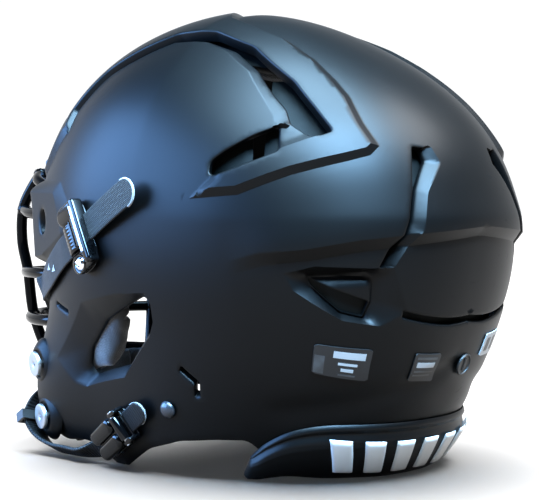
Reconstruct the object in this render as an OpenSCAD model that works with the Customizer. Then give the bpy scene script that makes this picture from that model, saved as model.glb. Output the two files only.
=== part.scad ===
// American football helmet, real size in millimetres.
// +Z is up, the face looks along -Y, the wearer's left side is +X.
// The origin sits under the middle of the helmet at the height of its lowest point.
// The shell is one closed form seen from a centre inside the head cavity: every
// direction from that centre has one radius. Places on the side of the shell are
// given as [back, up] angles in degrees measured from the straight-left direction.
// Places on the centre pieces are given as [bearing, rise]: bearing 0 is straight
// back, 90 is left and 180 is straight ahead.

/* [Shell] */
// half width of the shell at the ears
shell_half_width = 121; // [110:1:130]
// reach of the shell ahead of its centre
shell_front = 148; // [138:1:158]
// reach of the shell behind its centre
shell_rear = 149; // [138:1:158]
// rise of the crown above the centre
shell_rise = 120; // [110:1:130]
// height of the centre above the table
centre_height = 144; // [135:1:150]
// wall thickness of the shell
shell_wall = 4; // [3:0.5:5]
// height of the raised crown band
band_height = 3; // [1:0.5:4]

/* [Facemask] */
// diameter of the coated mask bars
bar_size = 7; // [5:0.5:8]
// reach of the longest bar ahead of the centre
mask_reach = 180; // [170:1:190]

/* [Padding] */
// gap between shell and liner
liner_gap = 1; // [0.5:0.5:3]
// thickness of the impact liner blocks
liner_thick = 12; // [8:1:16]
// thickness of the comfort pads
pad_thick = 13; // [8:1:18]

/* [Chin strap] */
// width of the woven webbing
webbing_width = 16; // [12:1:20]
// thickness of the webbing
webbing_thick = 1.6; // [1:0.1:2.5]
// half width of the chin cup
cup_half_width = 38; // [30:1:45]

/* [Rear bumper] */
// how far the bumper stands out from the shell
bumper_thick = 7; // [4:0.5:9]

/* [Hidden] */
CENTRE = [0, 0, centre_height];
// the form is drawn about its centre, then moved back so the whole helmet is centred
BACK_SHIFT = 15;
module placed() translate([0, BACK_SHIFT, 0]) children();
BLACK = [0.09, 0.1, 0.12];
GLOSS = [0.03, 0.03, 0.035];
STEEL = [0.75, 0.76, 0.78];
GREY = [0.42, 0.45, 0.44];
WHITE = [0.92, 0.92, 0.9];

// ---- small helpers -------------------------------------------------------

function lim(t, a = 0, b = 1) = min(max(t, a), b);
function soft(t) = let (s = lim(t)) s * s * (3 - 2 * s);

// unit direction of a [back, up] place on the left side
function side_way(p) = let (g = norm(p))
  g < 0.01 ? [1, 0, 0] : [cos(g), sin(g) * p[0] / g, sin(g) * p[1] / g];

// unit direction of a [bearing, rise] place
function globe_way(p) = [cos(p[1]) * sin(p[0]), cos(p[1]) * cos(p[0]), sin(p[1])];

// [back, up] angles of a direction, the right side folded onto the left
function side_place(d) = let (s = norm([d[1], d[2]]))
  s < 0.0001 ? [0, 0] : acos(lim(abs(d[0]), -1, 1)) / s * [d[1], d[2]];

function to_segment(p, a, b) =
  let (ab = b - a, t = lim((p - a) * ab / (ab * ab))) norm(p - a - t * ab);
function to_line(p, path) = min([for (i = [0:len(path) - 2]) to_segment(p, path[i], path[i + 1])]);
function to_loop(p, loop) = min(to_line(p, loop), to_segment(p, loop[len(loop) - 1], loop[0]));
function crossings(p, loop) = len([for (i = [0:len(loop) - 1])
  let (a = loop[i], b = loop[(i + 1) % len(loop)])
  if ((a[1] > p[1]) != (b[1] > p[1])
    && p[0] < (b[0] - a[0]) * (p[1] - a[1]) / (b[1] - a[1]) + a[0]) 1]);
// distance inside a loop, negative outside it
function depth(p, loop) = (crossings(p, loop) % 2 == 1 ? 1 : -1) * to_loop(p, loop);

// ---- shell form ----------------------------------------------------------

// raised area: brow, crown and the band that frames the side panel
RAISED = [[-100, 10], [-53, 11], [-46, 18], [-40, 24], [-42, 31], [-34, 43.5], [-22, 51.5],
  [-10, 58], [6, 59], [23, 53], [40, 39], [47, 30], [52, 23], [47, 20.5], [36, 15], [25, 11],
  [19, 5], [32, 6], [44, 11], [56, 15], [61, 17], [63, 20], [59, 27],
  [55, 36], [50, 43], [42, 52], [30, 61], [4, 71], [-20, 92], [-80, 80]];
// ridge line round the back, with the dome above and the rear panel below
RIDGE = [[30, -10], [37, -8], [47, -7], [58, -5], [68, -4], [82, -3], [95, -2]];

// plain rounded form of the shell
function plain_form(d) = let (
    h = pow(abs(d[0]) / shell_half_width, 2.2)
      + pow(abs(d[1]) / (d[1] < 0 ? shell_front : shell_rear), 2.2),
    n = 2.07 - 0.22 * soft(-2 * d[2]),
    z = abs(d[2]) / (d[2] > 0 ? shell_rise : 195))
  pow(pow(h, n / 2.2) + pow(z, n), -1 / n)
    - 12 * pow(lim(2 * max(d[1], 0) * max(d[2], 0)), 1.15);

// straighter skirt, jaw flaps reaching forward and flat temple
function skirt(p) = 10 * pow(lim((-p[1] - 25) / 27, 0, 1.2), 2) * (1 - soft(p[0] / 30))
  + 36 * exp(-pow((p[0] + 50) / 20, 2) - pow((p[1] + 48) / 17, 2))
  + 6 * exp(-pow((p[0] + 53) / 8, 2) - pow(p[1] / 10, 2));

// ridge round the back: a crest above the line and a set-back panel below it
function ridge_step(p) = p[0] < 28 ? 0 : let (g = to_line(p, RIDGE), over = p[1] > ridge_at(p[0]))
  soft((p[0] - 28) / 16) * (over ? 2.5 * exp(-g * g / 60) : 2.5 - 4.5 * soft(g / 2.5));
function ridge_at(u) = lookup(u, RIDGE);

// smooth form inside the bands, ridge and cove
function lining_form(d) = plain_form(d) + skirt(side_place(d));
function shell_form(d) = let (p = side_place(d))
  lining_form(d) + band_height * soft(depth(p, RAISED) / 3) + ridge_step(p)
    - 1.5 * exp(-pow((p[1] + 47) / 3, 2)) * soft((p[0] - 25) / 12);

// distance along a direction that gives a unit of distance square to the surface
function slant(d) = let (p = side_place(d))
  1 + 0.45 * lim((-p[1] - 20) / 25) * (1 - soft((p[0] - 5) / 30));
// point in a direction, off outside (or inside, when negative) the shell face
function at(d, off) = CENTRE + (shell_form(d) + off * slant(d)) * d;
// the same from the smooth form, for everything inside the shell
function within(d, off) = CENTRE + (lining_form(d) + off * slant(d)) * d;

// closed ball through the points that place gives for each direction
module ball(place, rings, spokes) {
  inner = rings - 1;
  points = concat([place([1, 0, 0])],
    [for (i = [1:inner]) for (j = [0:spokes - 1]) let (a = 180 * i / rings, b = 360 * j / spokes)
      place([cos(a), sin(a) * cos(b), sin(a) * sin(b)])],
    [place([-1, 0, 0])]);
  last = inner * spokes + 1;
  faces = concat(
    [for (j = [0:spokes - 1]) [0, 1 + (j + 1) % spokes, 1 + j]],
    [for (i = [0:inner - 2]) for (j = [0:spokes - 1]) let (k = (j + 1) % spokes, a = 1 + i * spokes)
      each [[a + j, a + k, a + spokes + k], [a + j, a + spokes + k, a + spokes + j]]],
    [for (j = [0:spokes - 1]) let (a = 1 + (inner - 1) * spokes) [a + j, a + (j + 1) % spokes, last]]);
  polyhedron(points, faces, convexity = 6);
}

// ---- cutters -------------------------------------------------------------

// wedge from near the centre out through a convex loop of directions
module wedge(loop, near = 50, far = 260) {
  n = len(loop);
  // the loop is walked the same way round whichever way it is written
  ways = cross(loop[1] - loop[0], loop[2] - loop[0]) * loop[0] > 0 ? loop
    : [for (i = [n - 1:-1:0]) loop[i]];
  points = concat([for (w = ways) CENTRE + near * w], [for (w = ways) CENTRE + far * w]);
  polyhedron(points, concat(
    [for (i = [1:n - 2]) [0, i, i + 1]],
    [for (i = [1:n - 2]) [n, n + i + 1, n + i]],
    [for (i = [0:n - 1]) let (k = (i + 1) % n) each [[i, n + i, n + k], [i, n + k, k]]]));
}

// slot between two edges given as matching rows of places, right edge first
module slot_between(a, b) {
  n = len(a);
  points = concat([CENTRE], [for (p = concat(a, b)) CENTRE + 260 * side_way(p)]);
  polyhedron(points, concat(
    [for (i = [1:n - 1]) each [[i, n + i + 1, i + 1], [i, n + i, n + i + 1]]],
    [for (i = [1:n - 1]) each [[0, i, i + 1], [0, n + i + 1, n + i]]],
    [[0, n + 1, 1], [0, n, 2 * n]]), convexity = 6);
}

// the face and head opening: one cone over everything ahead of and under the rim
RIM_SIDE = [[-73, 17], [-60, 14.5], [-54, 11], [-52, 4], [-51, -4], [-49, -14], [-46.5, -21],
  [-46, -25], [-47, -29], [-46.5, -34], [-44.5, -39], [-41.5, -44], [-38, -48.5], [-34, -51.5],
  [-29, -52], [-24, -53.5], [-18, -57.6], [-14.5, -57.6], [-4, -53.5], [6, -51.7], [15, -52], [23, -53]];
RIM_REAR = [[52, -54], [40, -53.5], [26, -53], [12, -53]];
module mouth() {
  left = concat([globe_way([180, 12])], [for (p = RIM_SIDE) side_way(p)],
    [for (p = RIM_REAR) globe_way(p)], [globe_way([0, -53])]);
  n = len(left);
  loop = concat(left, [for (i = [n - 2:-1:1]) [-left[i][0], left[i][1], left[i][2]]]);
  m = len(loop);
  points = concat([CENTRE, CENTRE + 1000 * [0, -0.64, -0.77]], [for (w = loop) CENTRE + 420 * w]);
  polyhedron(points, [for (i = [0:m - 1]) let (a = 2 + i, b = 2 + (i + 1) % m)
    each [[0, b, a], [1, a, b]]], convexity = 4);
}

EAR_HOLE = [[-24, -35], [-16, -28], [1, -21], [3.5, -22.5], [4, -26], [2, -29.5], [-9, -39],
  [-23, -41], [-25, -39]];

module side_cuts() {
  wedge([for (p = EAR_HOLE) side_way(p)]);
  // slit and wide slot round the side panel, then the slot under it past a web
  slot_between(
    [[-39.5, 24], [-41, 30.6], [-33.3, 42.8], [-21.5, 50.6], [-10, 57], [4, 56.5], [19, 50.5],
    [32, 40], [37, 32.5], [41, 27.5], [42.5, 25.5]],
    [[-40.5, 24], [-42.3, 31], [-34.3, 44], [-22, 52], [-10, 58.4], [6, 59], [23, 53],
    [40, 39], [47, 30], [52, 23], [49.5, 21.8]]);
  slot_between([[38, 24.5], [34, 22], [30.5, 19.4], [27, 16.8], [23.5, 13.7]],
    [[41.5, 17.8], [39, 16.6], [36, 15], [29, 12], [24.5, 11]]);
  // upright vent behind the side and the groove below it
  slot_between([[71, 21], [70.5, 8], [68.5, -3.5], [64.5, -12]],
    [[76, 21.5], [73.5, 8], [71.5, -3], [66.5, -12]]);
  // hole in the floor of the three-cornered scoop
  wedge([for (p = [[47, -14.5], [48, -17], [53, -24], [58, -25.8], [60, -21.5]]) side_way(p)]);
  // gap under the rear panel
  slot_between([[63.5, -26], [70, -28.5], [77, -32], [83.7, -33.8]],
    [[64.5, -24], [73, -27.5], [80, -30.5], [84.6, -31.6]]);
  // small slots in the skirt
  slot_between([[10.5, -37.5], [14.2, -40.4], [13.4, -43]], [[11.5, -36.5], [15.6, -39.8], [14.7, -43]]);
  slot_between([[-38, -24], [-31, -25.9]], [[-38, -22.8], [-31, -24.7]]);
}

// ---- sheet and bar builders ----------------------------------------------

function unit(v) = v / norm(v);
function mix(a, b, t) = a + (b - a) * t;
// path resampled with steps points for each given span
function finer(path, steps) = concat([for (i = [0:len(path) - 2]) for (k = [0:steps - 1])
  mix(path[i], path[i + 1], k / steps)], [path[len(path) - 1]]);
// smooth path through the given points
function curve(path, steps) = let (n = len(path)) concat(
  [for (i = [0:n - 2]) for (k = [0:steps - 1]) let (
    a = path[max(i - 1, 0)], b = path[i], c = path[i + 1], d = path[min(i + 2, n - 1)], t = k / steps)
    0.5 * (2 * b + (c - a) * t + (2 * a - 5 * b + 4 * c - d) * t * t
      + (3 * b - a - 3 * c + d) * t * t * t)], [path[n - 1]]);
function flipped(path) = [for (p = path) [-p[0], p[1], p[2]]];

// closed solid between two matching grids of points
module grid_solid(low, high) {
  rows = len(low);
  cols = len(low[0]);
  n = rows * cols;
  r = floor(rows / 2) - (rows > 2 ? 0 : 1);
  facing = cross(low[r + 1 < rows ? r + 1 : r][0] - low[r + 1 < rows ? r : r - 1][0],
    low[r][cols - 1] - low[r][0]) * (high[r][0] - low[r][0]) > 0;
  quads = concat(
    [for (i = [0:rows - 2]) for (j = [0:cols - 2]) let (a = n + i * cols + j) [a, a + 1, a + cols + 1, a + cols]],
    [for (i = [0:rows - 2]) for (j = [0:cols - 2]) let (a = i * cols + j) [a, a + cols, a + cols + 1, a + 1]],
    [for (j = [0:cols - 2]) [j, j + 1, n + j + 1, n + j]],
    [for (j = [0:cols - 2]) let (a = (rows - 1) * cols + j) [a, n + a, n + a + 1, a + 1]],
    [for (i = [0:rows - 2]) let (a = i * cols) [a, n + a, n + a + cols, a + cols]],
    [for (i = [0:rows - 2]) let (a = i * cols + cols - 1) [a, a + cols, n + a + cols, n + a]]);
  faces = [for (q = quads) each facing ? [[q[0], q[1], q[2]], [q[0], q[2], q[3]]]
    : [[q[2], q[1], q[0]], [q[3], q[2], q[0]]]];
  polyhedron(concat([for (g = low) each g], [for (g = high) each g]), faces, convexity = 6);
}

// sheet following the shell between two edges of places; lo and hi are tables
// of [part of the way across, distance from the shell face]
module cover(way, left, right, lo, hi, across = 4, along = 3, place = on_face) {
  a = finer(left, along);
  b = finer(right, along);
  grid = function (table) [for (i = [0:len(a) - 1]) [for (j = [0:across])
    place(way(mix(a[i], b[i], j / across)), lookup(j / across, table))]];
  grid_solid(grid(lo), grid(hi));
}
on_face = function (d, off) at(d, off);
in_face = function (d, off) within(d, off);
side = function (p) side_way(p);
globe = function (p) globe_way(p);
top = function (p) unit([tan(p[0]), tan(p[1]), 1]);
function even(x) = [[0, x], [1, x]];

// flat band between two edge paths
module ribbon(a, b, thick) {
  n = len(a);
  half = [for (i = [0:n - 1]) thick / 2 * unit(cross(b[i] - a[i],
    (a[min(i + 1, n - 1)] + b[min(i + 1, n - 1)]) - (a[max(i - 1, 0)] + b[max(i - 1, 0)])))];
  grid_solid([for (i = [0:n - 1]) [a[i] - half[i], b[i] - half[i]]],
    [for (i = [0:n - 1]) [a[i] + half[i], b[i] + half[i]]]);
}

// round bar along a path; ref is a direction the path never follows
module bar(path, ref, size = bar_size, sides = 8) {
  n = len(path);
  rings = [for (i = [0:n - 1]) let (
    t = unit(path[min(i + 1, n - 1)] - path[max(i - 1, 0)]),
    x = unit(cross(ref, t)), y = cross(t, x))
    [for (k = [0:sides - 1]) path[i] + size / 2 * (cos(360 * k / sides) * x + sin(360 * k / sides) * y)]];
  faces = concat([[for (k = [0:sides - 1]) k]], [[for (k = [sides - 1:-1:0]) (n - 1) * sides + k]],
    [for (i = [0:n - 2]) for (k = [0:sides - 1]) let (a = i * sides, m = (k + 1) % sides)
      each [[a + k, a + sides + k, a + sides + m], [a + k, a + sides + m, a + m]]]);
  polyhedron([for (g = rings) each g], faces, convexity = 6);
}

// place children on the outside of the left shell: local X points straight out
// of the surface, turn spins them about it
module seated(p, tip, turn = 0, off = 0) {
  translate(at(side_way(p), off)) rotate([0, 0, tip[0]]) rotate([0, tip[1], 0]) rotate([turn, 0, 0])
    children();
}
module both_sides() {
  children();
  mirror([1, 0, 0]) children();
}

// ---- facemask release hardware -------------------------------------------

// places of the quick-release heads and the way they face
UPPER_HEAD = [-43, -36];
LOWER_HEAD = [-38.5, -45.5];
HEAD_TIP = [-18, 4];
HEAD_PLACES = [UPPER_HEAD, LOWER_HEAD];

module head_seat(p) seated(p, HEAD_TIP, 0, 0) {
  difference() {
    translate([-4, 0, 0]) rotate([0, 90, 0]) cylinder(d = 21, h = 6.2, $fn = 32);
    translate([0.4, 0, 0]) rotate([0, 90, 0]) cylinder(d = 16.4, h = 6, $fn = 32);
  }
}
module head_bore(p) seated(p, HEAD_TIP, 0, 0) {
  translate([-30, 0, 0]) rotate([0, 90, 0]) cylinder(d = 6, h = 31, $fn = 24);
  translate([0.4, 0, 0]) rotate([0, 90, 0]) cylinder(d = 16.4, h = 6, $fn = 32);
}

module release_head(p) seated(p, HEAD_TIP, 0, 0) {
  translate([3, 0, 0]) rotate([0, 90, 0]) difference() {
    cylinder(d = 15.4, h = 2.4, $fn = 48);
    translate([0, 0, 1.6]) cylinder(d = 5, h = 2, $fn = 24);
  }
  translate([-12, 0, 0]) rotate([0, 90, 0]) cylinder(d = 5, h = 15.2, $fn = 24);
}
module release_upper_left() placed() color(STEEL) release_head(UPPER_HEAD);
module release_lower_left() placed() color(STEEL) release_head(LOWER_HEAD);
module release_upper_right() placed() color(STEEL) mirror([1, 0, 0]) release_head(UPPER_HEAD);
module release_lower_right() placed() color(STEEL) mirror([1, 0, 0]) release_head(LOWER_HEAD);

// ---- shell ---------------------------------------------------------------

// screw through the forehead clip, local Z points out of the brow
FOREHEAD_X = 38;
module at_forehead_screw() translate([FOREHEAD_X, -143, 195.5]) rotate([58.7, 0, 0]) children();

module shell() placed() color(BLACK) resize([0, 0, 0]) difference() {
  union() {
    difference() {
      ball(function (d) at(d, 0), 34, 68);
      ball(function (d) within(d, -shell_wall), 20, 44);
      mouth();
      both_sides() side_cuts();
      translate([-150, -200, -20]) cube([300, 400, 20]);
    }
    both_sides() for (p = HEAD_PLACES) head_seat(p);
  }
  both_sides() {
    for (p = HEAD_PLACES) head_bore(p);
    seated([-44.5, -1.5], [-22, 0]) hull() for (z = [-4, 4]) translate([-12, 0, z])
      rotate([0, 90, 0]) cylinder(d = 10, h = 24, $fn = 24);
    at_forehead_screw() translate([0, 0, -30]) cylinder(d = 5, h = 30, $fn = 24);
  }
  at_valve() translate([0, 0, -12]) cylinder(d = 7.6, h = 24, $fn = 24);
}

// ---- bumpers -------------------------------------------------------------

module rear_bumper() placed() color(BLACK) resize([0, 0, 0]) difference() {
  bumper_block();
  translate([-150, -50, -20]) cube([300, 250, 20]);
}
module bumper_block() cover(globe,
  [[-57, -53.5], [-51, -50], [-44, -47], [-34, -45], [-20, -44], [0, -43.8], [20, -44], [34, -45],
    [44, -47], [51, -50], [57, -53.5]],
  [[-60, -57], [-51, -56.5], [-44, -56], [-34, -56], [-20, -55.8], [0, -55.8], [20, -55.8],
    [34, -56], [44, -56], [51, -56.5], [60, -57]],
  even(0.8), [[0, 2], [0.12, 0.7 * bumper_thick], [0.5, bumper_thick], [0.85, bumper_thick],
    [1, 0.75 * bumper_thick]], 6, 2);

// slanted raised bars moulded on the bumper
BADGE_BEARINGS = [-30, -20, -10, 0, 10, 20, 30];
module badge_bars() placed() color(WHITE) for (b = BADGE_BEARINGS)
  cover(globe, [[b - 5, -53.5], [b - 2, -45.8]], [[b + 1.5, -53.5], [b + 4.5, -45.8]],
    even(bumper_thick + 0.2), even(bumper_thick + 1.7), 3, 3);

module front_bumper() placed() color(BLACK) cover(globe, [[168, 12.5], [170, 27]], [[192, 12.5], [190, 27]],
  even(0.3), [[0, 1.5], [0.15, 3.5], [0.85, 3.5], [1, 1.5]], 8, 5);

// ---- facemask ------------------------------------------------------------

NOSE = [[81.6, -96, 108], [80, -115, 108], [75, -135, 108], [66, -152, 107.5], [56, -163, 107],
  [36, -172, 106.5]];
MOUTH = [[82, -95, 80], [81, -114, 79.5], [75, -134, 79], [65, -150, 79], [53, -161, 79],
  [34, -172, 79]];
CHIN = [[82.3, -92, 44.5], [80.5, -108, 45], [73, -126, 47], [61, -142, 49], [45, -155, 51],
  [26, -163, 52.5]];
BOTTOM = [[80, -87, 13.5], [79, -103, 14], [69, -123, 16], [53, -138, 20], [34, -149, 25]];
BROW = [[76, -106, 160], [75.5, -120, 161.5], [69, -137, 165.5], [58, -148, 169], [46, -152.5, 170]];
TEMPLE = [[76, -106, 160], [77, -101, 156], [77.5, -101, 151], [77.5, -106, 146], [76.5, -124, 145],
  [70, -144, 145], [58.5, -163.5, 147]];
UPRIGHT = [[58, -148, 170], [58.5, -163.5, 150], [57.5, -167, 128], [56, -163, 107], [53, -161, 79],
  [45, -155, 51], [34, -149, 25]];
SIDE = [[79.7, -87, 10], [81.2, -88.2, 23.3], [82.7, -93.2, 54.7], [82, -95, 80], [81.6, -96, 111]];
UP = [0, 0, 1];
RIGHT = [1, 0, 0];

module hoop(half, middle) bar(curve(concat(half, [middle],
  [for (i = [len(half) - 1:-1:0]) [-half[i][0], half[i][1], half[i][2]]]), 2), UP);
module facemask() placed() color(GLOSS) resize([0, 0, 0]) union() {
  hoop(NOSE, [0, 2 - mask_reach, 106]);
  hoop(MOUTH, [0, 3 - mask_reach, 79]);
  hoop(CHIN, [0, 13 - mask_reach, 53]);
  hoop(BOTTOM, [0, 24 - mask_reach, 29]);
  bar(concat(curve(BROW, 2), flipped([for (i = [len(BROW) - 1:-1:0]) BROW[i]])), UP);
  both_sides() {
    bar(curve(TEMPLE, 2), RIGHT);
    bar(curve(UPRIGHT, 2), RIGHT);
    bar(SIDE, RIGHT);
  }
  bar([[0, 2 - mask_reach, 108], [0, 3 - mask_reach, 79], [0, 13 - mask_reach, 53],
    [0, 24 - mask_reach, 27]], RIGHT);
}

// clip that hooks the brow bar to the shell
module forehead_clip() resize([0, 0, 0]) difference() {
  translate([FOREHEAD_X - 7, 0, 0]) rotate([90, 0, 90]) linear_extrude(14)
    polygon([[-158, 164], [-147.5, 164], [-146, 174], [-125, 205], [-136, 207], [-150, 184], [-158, 178]]);
  intersection() {
    ball(function (d) at(d, 0.4), 34, 68);
    translate([FOREHEAD_X - 12, -170, 150]) cube([24, 60, 70]);
  }
  translate([0, -152.5, 170]) rotate([0, 90, 0]) cylinder(d = bar_size + 0.8, h = 100, $fn = 24);
  at_forehead_screw() translate([0, 0, -30]) cylinder(d = 4.6, h = 32, $fn = 24);
}
module forehead_clip_left() placed() color(GLOSS) forehead_clip();
module forehead_clip_right() placed() color(GLOSS) mirror([1, 0, 0]) forehead_clip();
module forehead_screws() placed() color(STEEL) both_sides() at_forehead_screw() {
  translate([0, 0, 0.3]) cylinder(d1 = 9, d2 = 7, h = 2.2, $fn = 32);
  translate([0, 0, -21]) cylinder(d = 4, h = 21.3, $fn = 24);
}
module forehead_nuts() placed() color(STEEL) both_sides() at_forehead_screw() difference() {
  union() {
    translate([0, 0, -20.6]) cylinder(d = 12, h = 1, $fn = 32);
    translate([0, 0, -21.4]) cylinder(d = 7, h = 1.4, $fn = 32);
  }
  translate([0, 0, -23]) cylinder(d = 4.4, h = 6, $fn = 24);
}

// clips inside the jaw flaps that hold the side bar of the mask
module jaw_clip(p) resize([0, 0, 0]) difference() {
  intersection() {
    seated(p, HEAD_TIP) translate([-17.5, -8, -8]) cube([13.5, 24, 16]);
    ball(function (d) within(d, -shell_wall - 2.5), 34, 68);
  }
  seated(p, HEAD_TIP) translate([-15, 0, 0]) rotate([0, 90, 0]) cylinder(d = 5.6, h = 20, $fn = 24);
  seated(p, HEAD_TIP) translate([-5, 0, 0]) rotate([0, 90, 0]) cylinder(d = 22, h = 12, $fn = 24);
  bar(SIDE, RIGHT, bar_size + 1.2, 8);
  bar(curve(CHIN, 2), UP, bar_size + 1.2, 8);
  bar(curve(BOTTOM, 2), UP, bar_size + 1.2, 8);
}
module jaw_clip_upper_left() placed() color(GLOSS) jaw_clip(UPPER_HEAD);
module jaw_clip_lower_left() placed() color(GLOSS) jaw_clip(LOWER_HEAD);
module jaw_clip_upper_right() placed() color(GLOSS) mirror([1, 0, 0]) jaw_clip(UPPER_HEAD);
module jaw_clip_lower_right() placed() color(GLOSS) mirror([1, 0, 0]) jaw_clip(LOWER_HEAD);

// ---- chin strap ----------------------------------------------------------

// world point of a local point in a seated frame
function spin_x(v, a) = [v[0], v[1] * cos(a) - v[2] * sin(a), v[1] * sin(a) + v[2] * cos(a)];
function spin_y(v, a) = [v[0] * cos(a) + v[2] * sin(a), v[1], v[2] * cos(a) - v[0] * sin(a)];
function spin_z(v, a) = [v[0] * cos(a) - v[1] * sin(a), v[0] * sin(a) + v[1] * cos(a), v[2]];
function seat_point(p, tip, turn, v) =
  at(side_way(p), 0) + spin_z(spin_y(spin_x(v, turn), tip[1]), tip[0]);

BUCKLE_PLACE = [-20, -5];
BUCKLE_TIP = [-10.5, 1.5];
BUCKLE_TURN = 28;
RATCHET_PLACE = [-13, -50.5];
RATCHET_TIP = [-5.5, 18];
RATCHET_TURN = 32;

// outer face of the chin cup: s across and t up, both -1 to 1
function cup_point(s, t, off) = [s * cup_half_width, -112, 40] + 24 * t * [0, -0.34, 0.94]
  + (21 * (1 - 0.5 * s * s - 0.45 * t * t) + off) * [0, -0.94, -0.34];
function cup_grid(off, reach) = [for (i = [-6:6]) let (s = reach * i / 6)
  [for (j = [-4:4]) cup_point(s, reach * j / 4 * (1 - 0.35 * s * s), off)]];
module chin_cup() placed() color(GLOSS) grid_solid(cup_grid(0, 1), cup_grid(3, 1));
module chin_pad() placed() color(BLACK) grid_solid(cup_grid(-9, 0.88), cup_grid(-0.4, 0.88));

// edges of a band: centre points with half-width directions
function edge(path, sign) = [for (q = path) q[0] + sign * q[1]];

WIDE = webbing_width / 2;
function buckle_row(x, y) = [seat_point(BUCKLE_PLACE, BUCKLE_TIP, BUCKLE_TURN, [x, y, 0]),
  seat_point([0, 0], BUCKLE_TIP, BUCKLE_TURN, [0, 0, WIDE]) - at([1, 0, 0], 0)];
function shell_row(p, q, off) = let (a = at(side_way(p), off), b = at(side_way(q), off))
  [(a + b) / 2, WIDE * unit(a - b)];
UPPER_ROWS = [buckle_row(0.5, 60), buckle_row(1.2, 52), buckle_row(2.2, 40), buckle_row(2.7, 28),
  buckle_row(2.8, 14), buckle_row(2.8, -14), shell_row([-33, -7], [-29.4, -14.6], 2.8),
  shell_row([-41, -11.5], [-37, -19], 2.8), shell_row([-51, -15.8], [-47.4, -23], 2.8),
  [[86.5, -114, 98.5], WIDE * unit([0.1, -0.42, 0.9])], [[80.5, -118, 94], WIDE * unit([0.15, -0.3, 0.94])],
  [[69, -121, 86], WIDE * unit([0.05, -0.25, 0.97])], [[54, -126, 72], WIDE * unit([-0.35, -0.2, 0.9])],
  [cup_point(1.02, 0.62, 5.2), WIDE * unit([-0.5, -0.25, 0.8])],
  [cup_point(0.74, 0.56, 5), WIDE * unit([-0.4, -0.28, 0.86])]];
module upper_strap() ribbon(edge(UPPER_ROWS, 1), edge(UPPER_ROWS, -1), webbing_thick);
module upper_strap_left() placed() color(BLACK) upper_strap();
module upper_strap_right() placed() color(BLACK) mirror([1, 0, 0]) upper_strap();

GUIDE_ROW = [[91, -117.4, 20.5], [6.3, -1.5, 1.4]];
function ratchet_row(x, y) = [seat_point(RATCHET_PLACE, RATCHET_TIP, RATCHET_TURN, [x, y, 0]),
  seat_point([0, 0], RATCHET_TIP, RATCHET_TURN, [0, 0, 6.5]) - at([1, 0, 0], 0)];
LOWER_ROWS = [ratchet_row(2.4, 34), ratchet_row(2.9, 22), ratchet_row(2.9, -20),
  [[97, -64, 5.6], [5.8, 0.4, 3]], [[95, -80, 4.8], [5.6, 0.4, 3]], [[94, -96, 5.4], [5.6, 0.4, 3]],
  [[93, -109, 10.5], [6, -0.6, 2.6]], GUIDE_ROW, [[85.5, -119.5, 28.5], [5.4, -1.4, 3]],
  [[77, -121.5, 31.5], [3, -1.2, 5.8]], [[65, -124, 32.5], [0.6, -1.4, 6.4]], [[53, -128, 32.5], [0.4, -1.6, 6.4]],
  [cup_point(1.02, -0.3, 6.4), [0.4, -1.6, 6.3]], [cup_point(0.74, -0.36, 6.4), [0.5, -1.8, 6.1]]];
module lower_strap() ribbon(edge(LOWER_ROWS, 1), edge(LOWER_ROWS, -1), 2.2);
module lower_strap_left() placed() color(BLACK) lower_strap();
module lower_strap_right() placed() color(BLACK) mirror([1, 0, 0]) lower_strap();

// cam buckle: local X out of the shell, Y along the webbing, Z along the buckle
module at_buckle() seated(BUCKLE_PLACE, BUCKLE_TIP, BUCKLE_TURN) children();
module buckle() at_buckle() difference() {
  union() {
    translate([0.5, -12, -21]) cube([1.2, 24, 42]);
    translate([0.5, -12, 9]) cube([9, 24, 9]);
    translate([0.5, -12, -21]) cube([5.5, 24, 12]);
    translate([0.5, 1, -12]) cube([9, 11, 3]);
  }
  translate([6.8, 6.5, -14]) cylinder(d = 3.4, h = 40, $fn = 24);
  translate([0, -2, -16]) rotate([0, 90, 0]) cylinder(d = 4.4, h = 10, $fn = 24);
}
module buckle_left() placed() color(GLOSS) buckle();
module buckle_right() placed() color(GLOSS) mirror([1, 0, 0]) buckle();
module buckle_cam() at_buckle() {
  translate([4.6, -9, -8.6]) cube([3, 14, 17.2]);
  translate([6.8, 6.5, -8.6]) cylinder(d = 5.4, h = 17.2, $fn = 32);
  translate([6.8, 6.5, -11.6]) cylinder(d = 3.2, h = 29.2, $fn = 24);
}
module buckle_cam_left() placed() color(GLOSS) buckle_cam();
module buckle_cam_right() placed() color(GLOSS) mirror([1, 0, 0]) buckle_cam();
module buckle_screws() placed() color(STEEL) both_sides() at_buckle() {
  translate([6.2, -2, -16]) rotate([0, 90, 0]) cylinder(d1 = 8.5, d2 = 6.5, h = 1.8, $fn = 32);
  translate([0.6, -2, -16]) rotate([0, 90, 0]) cylinder(d = 4, h = 5.7, $fn = 24);
}

// ratchet: local X out of the jaw, Y along the ribbed strap, Z across it
module at_ratchet() seated(RATCHET_PLACE, RATCHET_TIP, RATCHET_TURN) children();
module ratchet_body() at_ratchet() difference() {
  union() {
    translate([0.5, -16, -10.5]) cube([1, 32, 21]);
    for (z = [-10.5, 7.7]) translate([0.5, -14, z]) cube([8.5, 29, 2.8]);
  }
  translate([7, 10, -11]) cylinder(d = 3.3, h = 22, $fn = 24);
}
module ratchet_body_left() placed() color(GLOSS) ratchet_body();
module ratchet_body_right() placed() color(GLOSS) mirror([1, 0, 0]) ratchet_body();
module ratchet_lever() at_ratchet() difference() {
  union() {
    translate([4.4, -19, -7.3]) cube([4.6, 28, 14.6]);
    translate([7, 10, -7.3]) cylinder(d = 5.6, h = 14.6, $fn = 32);
  }
  translate([7, 10, -8]) cylinder(d = 3.3, h = 16, $fn = 24);
}
module ratchet_lever_left() placed() color(GLOSS) ratchet_lever();
module ratchet_lever_right() placed() color(GLOSS) mirror([1, 0, 0]) ratchet_lever();
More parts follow.
